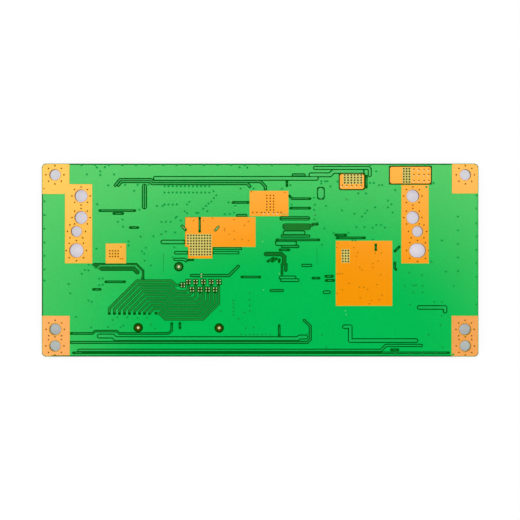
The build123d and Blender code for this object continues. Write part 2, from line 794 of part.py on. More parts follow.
def diode_lead():
    """A flat lead that leaves the body's end and folds under it."""
    near, far = lead_levels(diode_height)
    start = diode_length / 2
    end = start + diode_tongue
    under = start - diode_fold
    gap = standoff * 0.8  # a little air between the foot and the body above it
    profile = [(start, -far), (end, -far), (end, 0), (under, 0), (under, -gap),
               (end - lead_thickness, -gap), (end - lead_thickness, -near), (start, -near)]
    side = Plane.XZ * polygon([Vector(*point) for point in profile])
    return Pos(0, 0, seat) * extrude(side, diode_tongue_width / 2, both=True)


os.makedirs("parts", exist_ok=True)
build_solder_side()
build_controller()
build_drivers()
build_memory()
build_regulator()
build_inductor("boost_inductor", boost_place, boost_inductor)
build_inductor("buck_inductor", buck_place, buck_inductor)
build_connectors()
build_chips()
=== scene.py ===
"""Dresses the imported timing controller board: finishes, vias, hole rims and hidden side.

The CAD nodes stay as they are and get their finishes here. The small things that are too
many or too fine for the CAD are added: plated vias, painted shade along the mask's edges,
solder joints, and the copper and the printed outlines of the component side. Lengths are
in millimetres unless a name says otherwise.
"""
import logging
from dataclasses import dataclass, replace
from enum import Enum

import bpy
import numpy as np
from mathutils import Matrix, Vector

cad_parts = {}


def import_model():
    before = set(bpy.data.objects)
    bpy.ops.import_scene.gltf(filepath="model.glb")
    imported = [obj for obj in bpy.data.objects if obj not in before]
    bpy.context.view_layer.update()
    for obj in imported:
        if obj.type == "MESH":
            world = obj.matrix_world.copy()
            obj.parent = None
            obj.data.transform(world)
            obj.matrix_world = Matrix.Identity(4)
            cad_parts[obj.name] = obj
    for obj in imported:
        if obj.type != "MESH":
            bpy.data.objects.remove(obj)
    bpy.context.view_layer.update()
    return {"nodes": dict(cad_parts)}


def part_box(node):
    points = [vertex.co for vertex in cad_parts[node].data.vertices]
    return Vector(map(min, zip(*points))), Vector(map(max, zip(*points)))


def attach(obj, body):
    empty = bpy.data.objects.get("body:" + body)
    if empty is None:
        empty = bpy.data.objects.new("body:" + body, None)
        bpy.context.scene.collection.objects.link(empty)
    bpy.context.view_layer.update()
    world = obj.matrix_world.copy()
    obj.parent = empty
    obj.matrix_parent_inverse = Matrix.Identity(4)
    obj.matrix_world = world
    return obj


MM = 0.001
LOG = logging.getLogger("board")
Path = tuple[tuple[float, float], ...]
WAVES_PER_SCALE = 3.2  # bands that a wave texture draws in one unit at a scale of 1


# ------------------------------------------------------------------ finishes
def colour(code: str) -> tuple[float, float, float, float]:
    """Turns an sRGB hex code into linear light.

    Args:
        code: Six hex digits.

    Returns:
        Red, green, blue and an alpha of 1.
    """
    parts = [int(code[i:i + 2], 16) / 255 for i in (0, 2, 4)]
    linear = [p / 12.92 if p <= 0.04045 else ((p + 0.055) / 1.055) ** 2.4 for p in parts]
    return (*linear, 1.0)


def add_node(tree: bpy.types.NodeTree, kind: str, inputs: dict | None = None,
             **settings: object) -> bpy.types.Node:
    """Adds one node with its settings, values and links.

    Args:
        tree: The tree that gets the node.
        kind: The node's type, without its ShaderNode prefix.
        inputs: Values, or other nodes' outputs, by socket name or number.
        settings: Attributes of the node itself.

    Returns:
        The new node.
    """
    node = tree.nodes.new("ShaderNode" + kind)
    for name, value in settings.items():
        setattr(node, name, value)
    for key, value in (inputs or {}).items():
        socket = node.inputs[key]
        if isinstance(value, bpy.types.NodeSocket):
            tree.links.new(value, socket)
        else:
            socket.default_value = value
    return node


@dataclass(frozen=True)
class Finish:
    """One plain finish with a fine grain, and the base of all the others.

    The grain of mask, metal and moulding is finer in truth than it can show, so grain_mm is
    drawn as coarse as it needs to be. The bump's depth is drawn to suit it.
    """

    name: str
    base: str
    shade: str
    grain_mm: float = 0.4
    roughness: float = 0.5
    roughness_spread: float = 0.08
    metallic: float = 0.0
    specular: float = 0.5
    sheen: str = "FFFFFF"
    bump_mm: float = 0.004
    bump_strength: float = 0.6

    def tinted(self, name: str, base: str, shade: str, **changes: object) -> "Finish":
        """The same finish under another name, in other colours and with a few changes."""
        return replace(self, name=name, base=base, shade=shade, **changes)

    def material(self) -> bpy.types.Material:
        """Builds the material, unless it is there already.

        Returns:
            The material of this name.
        """
        found = bpy.data.materials.get(self.name)
        if found:
            return found
        made = bpy.data.materials.new(self.name)
        made.use_nodes = True
        tree = made.node_tree
        tree.nodes.clear()
        place = add_node(tree, "TexCoord").outputs["Object"]
        shader = add_node(tree, "BsdfPrincipled", {
            "Metallic": self.metallic, "Specular IOR Level": self.specular,
            "Specular Tint": colour(self.sheen)})
        height = self.paint(tree, place, shader)
        bump = add_node(tree, "Bump", {"Height": height, "Distance": self.bump_mm * MM,
                                       "Strength": self.bump_strength})
        tree.links.new(bump.outputs[0], shader.inputs["Normal"])
        add_node(tree, "OutputMaterial", {"Surface": shader.outputs[0]})
        return made

    def paint(self, tree: bpy.types.NodeTree, place: bpy.types.NodeSocket,
              shader: bpy.types.Node) -> bpy.types.NodeSocket:
        """Colours the shader by a fine noise, and its roughness with it.

        Args:
            tree: The material's tree.
            place: Object coordinates.
            shader: The shader that gets the colour and the roughness.

        Returns:
            The height that the bump reads.
        """
        grain = self.noise(tree, place, self.grain_mm)
        self.colour_by(tree, grain, shader, self.base, self.shade)
        self.vary_roughness(tree, grain, shader)
        return grain

    def bands(self, tree: bpy.types.NodeTree, place: bpy.types.NodeSocket, pitch_mm: float,
              axis: str) -> bpy.types.NodeSocket:
        """Even bands across one axis.

        Args:
            tree: The material's tree.
            place: Object coordinates.
            pitch_mm: Distance from one band to the next.
            axis: X, Y or Z.

        Returns:
            A value that rises and falls between 0 and 1.
        """
        return add_node(tree, "TexWave", {"Vector": place,
                                          "Scale": 1 / (pitch_mm * MM * WAVES_PER_SCALE)},
                        wave_type="BANDS", bands_direction=axis).outputs["Fac"]

    def colour_by(self, tree: bpy.types.NodeTree, share: bpy.types.NodeSocket,
                  shader: bpy.types.Node, first: str, second: str) -> None:
        """Links a mix of two colours to the shader.

        Args:
            tree: The material's tree.
            share: How much of the second colour there is, from 0 to 1.
            shader: The shader that gets the colour.
            first: The first colour, as six hex digits.
            second: The second colour.
        """
        tint = add_node(tree, "MixRGB", {"Fac": share, "Color1": colour(first),
                                         "Color2": colour(second)})
        tree.links.new(tint.outputs[0], shader.inputs["Base Color"])

    def noise(self, tree: bpy.types.NodeTree, place: bpy.types.NodeSocket, size_mm: float,
              detail: float = 3.0) -> bpy.types.NodeSocket:
        """A noise whose blotches are about this many millimetres across."""
        return add_node(tree, "TexNoise", {"Vector": place, "Scale": 1 / (size_mm * MM),
                                           "Detail": detail}).outputs["Fac"]

    def vary_roughness(self, tree: bpy.types.NodeTree, grain: bpy.types.NodeSocket,
                       shader: bpy.types.Node) -> None:
        """Lets the roughness follow the grain.

        Args:
            tree: The material's tree.
            grain: A value from 0 to 1.
            shader: The shader that gets the roughness.
        """
        spread = add_node(tree, "MapRange", {
            "Value": grain, "To Min": self.roughness - self.roughness_spread,
            "To Max": self.roughness + self.roughness_spread})
        tree.links.new(spread.outputs["Result"], shader.inputs["Roughness"])


@dataclass(frozen=True)
class SolderMask(Finish):
    """Screen-printed epoxy mask: semi-gloss, a little blotchy where it runs thick or thin."""

    blotch_mm: float = 14.0
    thin: str = "0BC45A"
    grain_range: tuple[float, float] = (0.35, 0.8)
    grain_share: float = 0.45

    def paint(self, tree: bpy.types.NodeTree, place: bpy.types.NodeSocket,
              shader: bpy.types.Node) -> bpy.types.NodeSocket:
        """Slow blotches of thinner mask, with the fine grain of the print over them.

        Args:
            tree: The material's tree.
            place: Object coordinates.
            shader: The shader that gets the colour and the roughness.

        Returns:
            The height that the bump reads.
        """
        grain = self.noise(tree, place, self.grain_mm)
        blotch = self.noise(tree, place, self.blotch_mm, 2.0)
        slow = add_node(tree, "MixRGB", {"Fac": blotch, "Color1": colour(self.base),
                                         "Color2": colour(self.thin)})
        share = add_node(tree, "MapRange", {
            "Value": grain, "From Min": self.grain_range[0], "From Max": self.grain_range[1],
            "To Max": self.grain_share})
        tint = add_node(tree, "MixRGB", {"Fac": share.outputs["Result"],
                                         "Color1": slow.outputs[0],
                                         "Color2": colour(self.shade)})
        tree.links.new(tint.outputs[0], shader.inputs["Base Color"])
        self.vary_roughness(tree, grain, shader)
        return grain


@dataclass(frozen=True)
class MaskedLaminate(Finish):
    """Woven-glass epoxy board: dark mask above, bright mask on copper below, raw edges.

    The raw edges and hole walls show the stacked layers of glass cloth as fine lines.
    """

    below: str = "0AB64F"
    edge: str = "8E7B4C"
    edge_line: str = "5F5733"
    cloth_mm: float = 0.5
    layer_mm: float = 0.19

    def paint(self, tree: bpy.types.NodeTree, place: bpy.types.NodeSocket,
              shader: bpy.types.Node) -> bpy.types.NodeSocket:
        """Weave under the mask, picked by which way the face looks.

        The weave is the product of two sets of bands, one along X and one along Y.

        Args:
            tree: The material's tree.
            place: Object coordinates.
            shader: The shader that gets the colour and the roughness.

        Returns:
            The height that the bump reads.
        """
        weave = [self.bands(tree, place, self.cloth_mm, axis) for axis in ("X", "Y")]
        cloth = add_node(tree, "Math", {0: weave[0], 1: weave[1]}, operation="MULTIPLY")
        top = add_node(tree, "MixRGB", {"Fac": cloth.outputs[0], "Color1": colour(self.base),
                                        "Color2": colour(self.shade)})
        side = add_node(tree, "MixRGB", {"Fac": self.bands(tree, place, self.layer_mm, "Z"),
                                         "Color1": colour(self.edge),
                                         "Color2": colour(self.edge_line)})
        normal = add_node(tree, "SeparateXYZ", {
            0: add_node(tree, "TexCoord").outputs["Normal"]}).outputs["Z"]
        upward = add_node(tree, "Math", {0: normal, 1: 0.5}, operation="GREATER_THAN")
        downward = add_node(tree, "Math", {0: normal, 1: -0.5}, operation="LESS_THAN")
        sides = add_node(tree, "MixRGB", {"Fac": upward.outputs[0],
                                          "Color1": side.outputs[0],
                                          "Color2": top.outputs[0]})
        tint = add_node(tree, "MixRGB", {"Fac": downward.outputs[0],
                                         "Color1": sides.outputs[0],
                                         "Color2": colour(self.below)})
        tree.links.new(tint.outputs[0], shader.inputs["Base Color"])
        grain = self.noise(tree, place, self.grain_mm)
        self.vary_roughness(tree, grain, shader)
        return grain


@dataclass(frozen=True)
class BrushedMetal(Finish):
    """Rolled or wiped metal, whose fine lines run along X."""

    stretch: float = 14.0

    def paint(self, tree: bpy.types.NodeTree, place: bpy.types.NodeSocket,
              shader: bpy.types.Node) -> bpy.types.NodeSocket:
        """The grain is drawn out along X, so that it reads as lines.

        Args:
            tree: The material's tree.
            place: Object coordinates.
            shader: The shader that gets the colour and the roughness.

        Returns:
            The height that the bump reads.
        """
        drawn = add_node(tree, "Mapping", {"Vector": place,
                                           "Scale": (1 / self.stretch, 1.0, 1.0)})
        return super().paint(tree, drawn.outputs[0], shader)


@dataclass(frozen=True)
class Winding(Finish):
    """Enamelled copper wire, wound in turns that lie one below the other."""

    wire_mm: float = 0.28

    def paint(self, tree: bpy.types.NodeTree, place: bpy.types.NodeSocket,
              shader: bpy.types.Node) -> bpy.types.NodeSocket:
        """Painted shade in the groove between each turn and the next.

        Args:
            tree: The material's tree.
            place: Object coordinates.
            shader: The shader that gets the colour and the roughness.

        Returns:
            The height that the bump reads.
        """
        turns = self.bands(tree, place, self.wire_mm, "Z")
        self.colour_by(tree, turns, shader, self.shade, self.base)
        self.vary_roughness(tree, turns, shader)
        return turns


@dataclass(frozen=True)
class Dimple(Finish):
    """A finish that darkens towards the middle of each small dish, by its depth attribute:
    painted shade in its hollow.
    """

    def paint(self, tree: bpy.types.NodeTree, place: bpy.types.NodeSocket,
              shader: bpy.types.Node) -> bpy.types.NodeSocket:
        """Reads the depth, which is 0 at the rim and 1 in the middle.

        Args:
            tree: The material's tree.
            place: Object coordinates.
            shader: The shader that gets the colour and the roughness.

        Returns:
            The height that the bump reads.
        """
        depth = add_node(tree, "Attribute", attribute_name="depth").outputs["Fac"]
        self.colour_by(tree, depth, shader, self.base, self.shade)
        grain = self.noise(tree, place, self.grain_mm)
        self.vary_roughness(tree, grain, shader)
        return grain


# Epoxy mask, printed over bright copper and cured by light: the copper glows through the
# green, and the even film carries one wide, soft reflection.
MASK_ON_COPPER = SolderMask("solder_mask_on_copper", "00B94F", "00AC48", thin="00BF56",
                            grain_mm=0.7, roughness=0.09, roughness_spread=0.015,
                            specular=0.65, sheen="E6FFBC")
# The same mask on a wide trace, drawn a little thinner over its shoulders: a greyer green.
MASK_ON_WIDE_TRACE = MASK_ON_COPPER.tinted("solder_mask_on_wide_trace", "0CB454", "06A94A",
                                           thin="16BA5A")
# The same mask on a narrow trace, whose domed back scatters the light: dull mid green.
MASK_ON_TRACE = MASK_ON_COPPER.tinted("solder_mask_on_trace", "18A04A", "109442",
                                      thin="24A44C", grain_mm=0.5, roughness=0.1,
                                      specular=0.3)
# The same mask on the bus's pairs of 0.18 mm lines, which the eye can't part: olive green.
MASK_ON_BUS_LINE = MASK_ON_TRACE.tinted("solder_mask_on_bus_line", "229E3C", "1E9838",
                                        thin="30A848", specular=0.2)
# Mask with no copper under it, sunk between two edges: the brown cloth swallows the light,
# so each etched gap reads as a matt, deep green line.
# The same colour paints the shade along the copper's etched edges and over buried lines.
GAP_AND_EDGE_SHADE = SolderMask("epoxy_gap_mask_and_painted_edge_shade", "005C10", "00560C", thin="026418",
                      grain_mm=0.7, roughness=0.2, roughness_spread=0.02, specular=0.0)
# Mask that fills the gaps of a bundle level with its lines: darker than either alone.
MASK_ON_CLOSE_LINES = GAP_AND_EDGE_SHADE.tinted("solder_mask_on_close_lines", "187A2C", "107226",
                                      thin="1C8030", grain_mm=0.5, specular=0.06)
# Woven glass cloth in epoxy, pressed, sawn and masked on both faces: nearly black green
# above, with raw brown edges that show the layers of cloth.
MASK_ON_LAMINATE = MaskedLaminate("masked_glass_epoxy", "005C14", "02661C", grain_mm=0.3,
                                  roughness=0.2, roughness_spread=0.02, specular=0.0)
# Painted shade on the etched shoulders of the strips between two pairs of the bus.
BUS_EDGE_SHADE = Finish("painted_shade_on_bus_edge", "0A7028", "066824", roughness=0.3,
                          specular=0.0)
# Mask on a short line inside a gold land: thin enough for the plating to warm it.
MASK_ON_THIN_LINE = Finish("thin_mask_on_line_in_land", "9CCC78", "90C46E", roughness=0.3,
                           specular=0.1)
# Mask flooded over lines too close for it to part: one flat, dull, dark patch.
MASK_OVER_LINE_BLOCK = Finish("solder_mask_over_line_block", "187626", "147022",
                              roughness=0.3, specular=0.05)
# Painted shade at the wall of a round window: almost black, without gloss.
WINDOW_WALL_SHADE = Finish("painted_shade_at_window_wall", "004A02", "004200", roughness=0.4,
                   specular=0.0)
# Mask that laps a land's edge by a tenth of a millimetre: gold through green is yellowish.
LAND_BORDER = Finish("mask_over_land_edge", "B4B43C", "A6B03A", roughness=0.4, specular=0.1)
# Mask over the bare ring round a land that stands alone: brown cloth through green.
MOAT = Finish("thin_mask_over_epoxy", "2E4E08", "284806", roughness=0.4, specular=0.05)
# Gold on nickel on rolled copper, plated from a bath: flat orange gold with a soft, bright
# bloom. Its metallic share is low, as the fine nickel grain scatters most of the light.
IMMERSION_GOLD = BrushedMetal("immersion_gold", "FF9E04", "FF9800", grain_mm=0.5,
                              roughness=0.1, roughness_spread=0.02, metallic=0.06,
                              specular=0.9, sheen="FFF8BC", bump_mm=0.003, stretch=3.0)
# The same plating in a duller, yellower tone: painted sheen, the light's bloom on the top land.
GOLD_WITH_PAINTED_TOP_SHEEN = IMMERSION_GOLD.tinted("gold_with_painted_top_sheen", "F0A020", "EE9A18",
                                  roughness=0.12, metallic=0.1, specular=1.0,
                                  sheen="FFF8C8")
# The same plating in a paler yellow: painted sheen, the light's stronger bloom on the left
# lands.
GOLD_WITH_PAINTED_LEFT_SHEEN = GOLD_WITH_PAINTED_TOP_SHEEN.tinted("gold_with_painted_left_sheen", "F0AC22", "ECA61C")
# The same plating in a pinkish tone: painted sheen, the light's bloom on the lower lands.
GOLD_WITH_PAINTED_LOWER_SHEEN = GOLD_WITH_PAINTED_TOP_SHEEN.tinted("gold_with_painted_lower_sheen", "F8A654", "F4A04C", roughness=0.14,
                             metallic=0.08, specular=0.9)
# Gold touched by solder or probes: pale and matt. It also paints glints at the rims of some
# vias.
FIDUCIAL_GOLD_AND_GLINT = BrushedMetal("pale_gold_and_painted_glint", "DCCB9A", "D2C08A", grain_mm=0.3,
                         roughness=0.3, metallic=0.1, bump_mm=0.003, stretch=3.0)
# Glass epoxy laid bare in a window of the mask: dull dark green.
BARE_EPOXY = Finish("bare_glass_epoxy", "206E1E", "1A661A", roughness=0.5, specular=0.1)
# The same where heat browned it: olive.
OLIVE_EPOXY = BARE_EPOXY.tinted("browned_glass_epoxy", "3A4A04", "324202", specular=0.0)
# The same between pads, stained by flux: a dark brown.
PAD_CLEARING = BARE_EPOXY.tinted("bare_epoxy_between_pads", "2A3E02", "243602",
                                 specular=0.0)
# The wall that a drill or a router cut through the cloth: light brown and rough.
DRILLED_WALL = Finish("drilled_glass_epoxy", "B98A4E", "A67A40", grain_mm=0.2, roughness=0.6)
# A plated barrel closed by mask: a soft dimple in the green, its middle darkened by painted
# shade.
TENTED_VIA = Dimple("tented_via", "02A044", "008E36", roughness=0.35, roughness_spread=0.03,
                    specular=0.05)
# A plated barrel left open in gold: a golden rim round a brown dot, the painted shade of the
# hole.
OPEN_VIA = Dimple("open_via", "D8941C", "6A4404", roughness=0.45, specular=0.0)
# A barrel filled and plated over: its middle, in painted shade, hardly darker than the gold
# round it.
FILLED_VIA = OPEN_VIA.tinted("filled_land_via", "E48C08", "A85E04")
# A barrel in a dense grid, under a film of mask that ran into it: painted shade, black in pale
# green.
GRID_VIA = OPEN_VIA.tinted("masked_land_via", "D4C870", "3A3400")
# The film of mask between these barrels: pale yellowish green over gold, quite matt.
GRID_GROUND = Finish("thin_mask_over_gold", "D4C870", "CEC268", roughness=0.45, specular=0.0)
# Tin on a probed pad, with a breath of mask left on it: pale green and matt. It also paints
# small glints on the pour.
TIN_PAD_AND_GLINT = Finish("masked_tin_pad_and_painted_glint", "A6D88E", "9CD086", grain_mm=0.2, roughness=0.4)
# Tin solder that melted and set: bright, slightly frosted metal.
SOLDER = Finish("tin_solder", "D9DBDC", "B9BBBE", grain_mm=0.25, roughness=0.28, metallic=1.0)
# Leads stamped from copper strip and plated with matte tin: grey, softly drawn.
TINNED_LEAD = BrushedMetal("matte_tin_plate", "C6C8CA", "A9ABAE", grain_mm=0.12,
                           roughness=0.36, metallic=1.0)
# Epoxy with silica, moulded in an eroded steel mould: black and dry, with a fine tooth.
MOULDING = Finish("epoxy_moulding_compound", "1B1B1D", "26262A", grain_mm=0.12,
                  roughness=0.72, bump_mm=0.008)
# Nylon with glass fibre, moulded: ivory, half matt.
NYLON = Finish("glass_filled_nylon", "E6E0CB", "D8D1B8", grain_mm=0.3, roughness=0.5)
# Steel strip, stamped and plated with nickel: bright, with rolling lines.
STEEL = BrushedMetal("nickel_plated_steel", "C9CACB", "B0B1B4", grain_mm=0.1,
                     roughness=0.3, metallic=1.0)
# Ferrite powder, pressed and fired: charcoal, faintly speckled.
FERRITE = Finish("sintered_ferrite", "2C2C30", "3A3A3F", grain_mm=0.2, roughness=0.62,
                 bump_mm=0.01)
# Enamelled copper wire, wound tight: dark orange, with painted shade in the groove at each
# turn.
WINDING = Winding("enamelled_copper_wire", "C46A32", "5A2A12", roughness=0.35, metallic=1.0)
# Layered titanate ceramic, fired: tan and smooth.
CAPACITOR = Finish("barium_titanate_ceramic", "B59264", "A5835A", grain_mm=0.15,
                   roughness=0.55)
# Alumina chip with a glass glaze: black and glossy.
RESISTOR = Finish("glazed_alumina", "17181C", "222329", grain_mm=0.15, roughness=0.3)
# Epoxy ink, printed through a screen: chalky white lines.
INK = Finish("epoxy_marking_ink", "F1F1EA", "E2E2DA", grain_mm=0.2, roughness=0.7)


# ------------------------------------------------------------------ surfaces
def grid_faces(rows: int, columns: int, wrap_rows: bool, wrap_columns: bool) -> np.ndarray:
    """The quads of a grid of points.

    Args:
        rows: Points along the first direction.
        columns: Points along the second direction.
        wrap_rows: Whether the last row joins the first.
        wrap_columns: Whether the last column joins the first.

    Returns:
        An array of four point numbers for each quad.
    """
    i = np.arange(rows if wrap_rows else rows - 1)
    j = np.arange(columns if wrap_columns else columns - 1)
    i, j = (a.ravel() for a in np.meshgrid(i, j, indexing="ij"))
    ni, nj = (i + 1) % rows, (j + 1) % columns
    return np.stack([i * columns + j, ni * columns + j, ni * columns + nj, i * columns + nj], 1)


def repeated(faces: np.ndarray, count: int, step: int) -> np.ndarray:
    """The quads of one shape, numbered on for each of its copies.

    Args:
        faces: The quads of the first.
        count: How many there are.
        step: How many points each of them has.

    Returns:
        The quads of them all.
    """
    return (faces[None] + (np.arange(count) * step)[:, None, None]).reshape(-1, 4)


def leftward(path: np.ndarray) -> np.ndarray:
    """The way to the left at each point of a path, on the bisector of its two runs.

    It is the sum of the two runs' left directions over one plus their cosine, so a move
    along it keeps the same distance from both.

    Args:
        path: Corner points, as rows of x and y.

    Returns:
        One row of x and y for each point.
    """
    runs = np.diff(path, axis=0)
    runs = runs / np.linalg.norm(runs, axis=1, keepdims=True)
    before, after = np.vstack([runs[:1], runs]), np.vstack([runs, runs[-1:]])
    left = np.stack([-before[:, 1] - after[:, 1], before[:, 0] + after[:, 0]], 1)
    return left / (1 + (before * after).sum(1))[:, None]


class Piece:
    """Points and faces gathered for one object."""

    def __init__(self, name: str, finish: Finish) -> None:
        """Starts an empty piece.

        Args:
            name: The object's name.
            finish: What it is made of.
        """
        self.name, self.finish = name, finish
        self.points: list[np.ndarray] = []
        self.faces: list[np.ndarray] = []
        self.depths: list[np.ndarray] = []
        self.size = 0

    def add(self, points: np.ndarray, faces: np.ndarray,
            depth: np.ndarray | None = None) -> None:
        """Adds one surface.

        Args:
            points: Points in millimetres, as rows of three.
            faces: Quads, as rows of four point numbers.
            depth: A value for each point, which some finishes read.
        """
        self.points.append(points.reshape(-1, 3))
        self.faces.append(faces + self.size)
        count = len(self.points[-1])
        self.depths.append(np.zeros(count) if depth is None else depth.ravel())
        self.size += count

    def build(self, smooth: bool = False) -> bpy.types.Object:
        """Makes the object, which rides on the board.

        Args:
            smooth: Whether its faces are shaded as one round surface.

        Returns:
            The new object.
        """
        points = np.concatenate(self.points) * MM
        faces = np.concatenate(self.faces)
        mesh = bpy.data.meshes.new(self.name)
        mesh.from_pydata(points.tolist(), [], faces.tolist())
        attribute = mesh.attributes.new("depth", "FLOAT", "POINT")
        attribute.data.foreach_set("value", np.concatenate(self.depths).astype(np.float32))
        mesh.polygons.foreach_set("use_smooth", np.full(len(faces), smooth))
        mesh.materials.append(self.finish.material())
        made = bpy.data.objects.new(self.name, mesh)
        bpy.context.scene.collection.objects.link(made)
        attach(made, "root")
        LOG.info("%s: %d faces", self.name, len(faces))
        return made


def ribbon(path: np.ndarray, width: float, level: float,
           rise: float) -> tuple[np.ndarray, np.ndarray]:
    """A flat strip with mitred corners and sloping sides, closed below and at its ends.

    At each point the strip's section lies along the bisector of the two runs.

    Args:
        path: Corner points, as rows of x and y.
        width: The strip's width at its foot.
        level: Height of its foot.
        rise: How far its face stands above the foot, or below it if negative.

    Returns:
        Points and quads.
    """
    slope = min(abs(rise), width / 4)
    across = np.array([-width / 2, -width / 2 + slope, width / 2 - slope, width / 2])
    height = np.array([level, level + rise, level + rise, level])
    if rise > 0:
        across, height = across[::-1], height[::-1]
    flat = path[:, None] + leftward(path)[:, None] * across[None, :, None]
    points = np.concatenate([flat, np.broadcast_to(height, flat.shape[:2])[..., None]], 2)
    count = len(path)
    faces = grid_faces(count, 4, False, True)
    last = (count - 1) * 4
    caps = np.array([[0, 1, 2, 3], [last + 3, last + 2, last + 1, last]])
    return points, np.vstack([faces, caps])


CORE_EDGE = 0.05  # half the width, in mm, of the band where a dish's depth changes


def dishes(centres: np.ndarray, radii: np.ndarray, heights: np.ndarray, level: float,
           facing: int = 1, sides: int = 10,
           core: float = 0.26) -> tuple[np.ndarray, np.ndarray, np.ndarray]:
    """Small turned dishes at many places: a profile of radius and height goes round each.

    Args:
        centres: Middles, as rows of x and y.
        radii: The profile's radii, from the rim inwards.
        heights: The profile's heights.
        level: Height of the surface that they lie on.
        facing: 1 where they face up and -1 where they face down.
        sides: Flat sides of each circle.
        core: Radius at which the depth is half way.

    Returns:
        Points, quads and depths, which run from 0 at the rim to 1 in the middle.
    """
    angles = np.arange(sides) * 2 * np.pi / sides * facing
    ring = np.stack([np.cos(angles), np.sin(angles)], 1)
    flat = radii[:, None, None] * ring[None]
    shape = (len(centres), len(radii), sides)
    points = np.empty((*shape, 3))
    points[..., :2] = centres[:, None, None] + flat[None]
    points[..., 2] = level + facing * heights[None, :, None]
    one = grid_faces(len(radii), sides, False, True)[:, ::-1]
    depth = np.clip((core + CORE_EDGE - radii) / (2 * CORE_EDGE), 0, 1)
    return (points, repeated(one, len(centres), len(radii) * sides),
            np.broadcast_to(depth[None, :, None], shape))


def rim(path: np.ndarray, outward: np.ndarray,
        profile: np.ndarray) -> tuple[np.ndarray, np.ndarray]:
    """A closed bead round a hole: a closed profile is carried along a closed curve.

    Args:
        path: The curve, as rows of x and y.
        outward: Its outward directions.
        profile: The section, as rows of outward offset and height.

    Returns:
        Points and quads.
    """
    flat = path[:, None] + outward[:, None] * profile[None, :, :1]
    height = np.broadcast_to(profile[None, :, 1:], (*flat.shape[:2], 1))
    return np.concatenate([flat, height], 2), grid_faces(len(path), len(profile), True, True)


def stadium(width: float, length: float, count: int = 48) -> tuple[np.ndarray, np.ndarray]:
    """The outline of a slot along X: a circle whose halves are moved apart.

    Args:
        width: Width of the slot.
        length: Length from end to end.
        count: Points round it.

    Returns:
        Points and outward directions.
    """
    angles = (np.arange(count) + 0.5) * 2 * np.pi / count
    out = np.stack([np.cos(angles), np.sin(angles)], 1)
    shift = np.stack([np.sign(out[:, 0]) * (length - width) / 2, np.zeros(count)], 1)
    return out * width / 2 + shift, out


FOOT_SIDES = 16  # points round a fillet of solder
FOOT_POWER = 0.35  # how square its outline is: 1 would be an ellipse, 0 a rectangle


def pillows(low: np.ndarray, high: np.ndarray, level: float, drop: float,
            margin: float) -> tuple[np.ndarray, np.ndarray]:
    """Rounded skirts of solder round many feet.

    Each ring is a rounded rectangle: cosine and sine to a low power, times half its
    length and width. The rings close in as they leave the board.

    Args:
        low: Low corners of the feet, as rows of x and y.
        high: Their high corners.
        level: Height of the board's face.
        drop: How far the solder climbs, downwards from the face.
        margin: How far it spreads past the foot.

    Returns:
        Points and quads.
    """
    angles = np.arange(FOOT_SIDES) * 2 * np.pi / FOOT_SIDES
    wave = np.stack([np.cos(angles), np.sin(angles)], 1)
    outline = np.sign(wave) * np.abs(wave) ** FOOT_POWER
    steps = np.array([[1.0, 0.0], [0.75, 0.35], [0.25, 0.8], [-0.4, 1.0]])
    middle, half = (low + high) / 2, (high - low) / 2
    size = half[:, None] + margin * steps[None, :, :1]
    points = np.empty((len(low), len(steps), FOOT_SIDES, 3))
    points[..., :2] = middle[:, None, None] + outline[None, None] * size[:, :, None]
    points[..., 2] = level - drop * steps[None, :, 1:]
    first, last = (len(steps) - 1) * FOOT_SIDES, len(steps) * FOOT_SIDES - 1
    cap = np.array([[first + i, first + i + 1, last - 1 - i, last - i]
                    for i in range(FOOT_SIDES // 2 - 1)])
    one = np.vstack([grid_faces(len(steps), FOOT_SIDES, False, True), cap])
    return points, repeated(one, len(low), len(steps) * FOOT_SIDES)


def mesh_of(node: str) -> tuple[np.ndarray, np.ndarray]:
    """The mesh of a CAD node.

    Args:
        node: The node's name.

    Returns:
        Its points in millimetres, and its triangles as rows of three point numbers.
    """
    mesh = bpy.data.objects[node].data
    points = np.empty(len(mesh.vertices) * 3)
    mesh.vertices.foreach_get("co", points)
    corner = np.empty(len(mesh.loops), int)
    mesh.loops.foreach_get("vertex_index", corner)
    return points.reshape(-1, 3) / MM, corner.reshape(-1, 3)


def islands(node: str) -> tuple[np.ndarray, np.ndarray]:
    """Corners, in millimetres, of the separate solids in a CAD node.

    Triangles that share a corner get the lower of their labels until none changes.

    Args:
        node: The node's name.

    Returns:
        Low corners and high corners, as rows of x, y and z.
    """
    co, triangles = mesh_of(node)
    _, same = np.unique(np.round(co, 4), axis=0, return_inverse=True)
    same = same.ravel()
    triangles = same[triangles]
    label = np.arange(same.max() + 1)
    while True:
        lowest = label[triangles].min(1)
        new = label.copy()
        np.minimum.at(new, triangles.ravel(), np.repeat(lowest, 3))
        if (new == label).all():
            break
        label = new
    names = label[same]
    keys = np.unique(names)
    low = np.array([co[names == key].min(0) for key in keys])
    high = np.array([co[names == key].max(0) for key in keys])
    return low, high


QUARTER_STEPS = 7  # points along each quarter turn
TOLERANCE = 0.01  # mm by which two measures may differ and still count as the same
SQUARE = 0.99  # sine above which a turn counts as a right angle
SHARPEST = 0.3  # one plus the cosine of the sharpest turn that is mitred in full
SINK = 0.02  # how far, in mm, a strip's foot is sunk below its face
SMALLEST = 0.05  # radius, in mm, below which a corner stays sharp


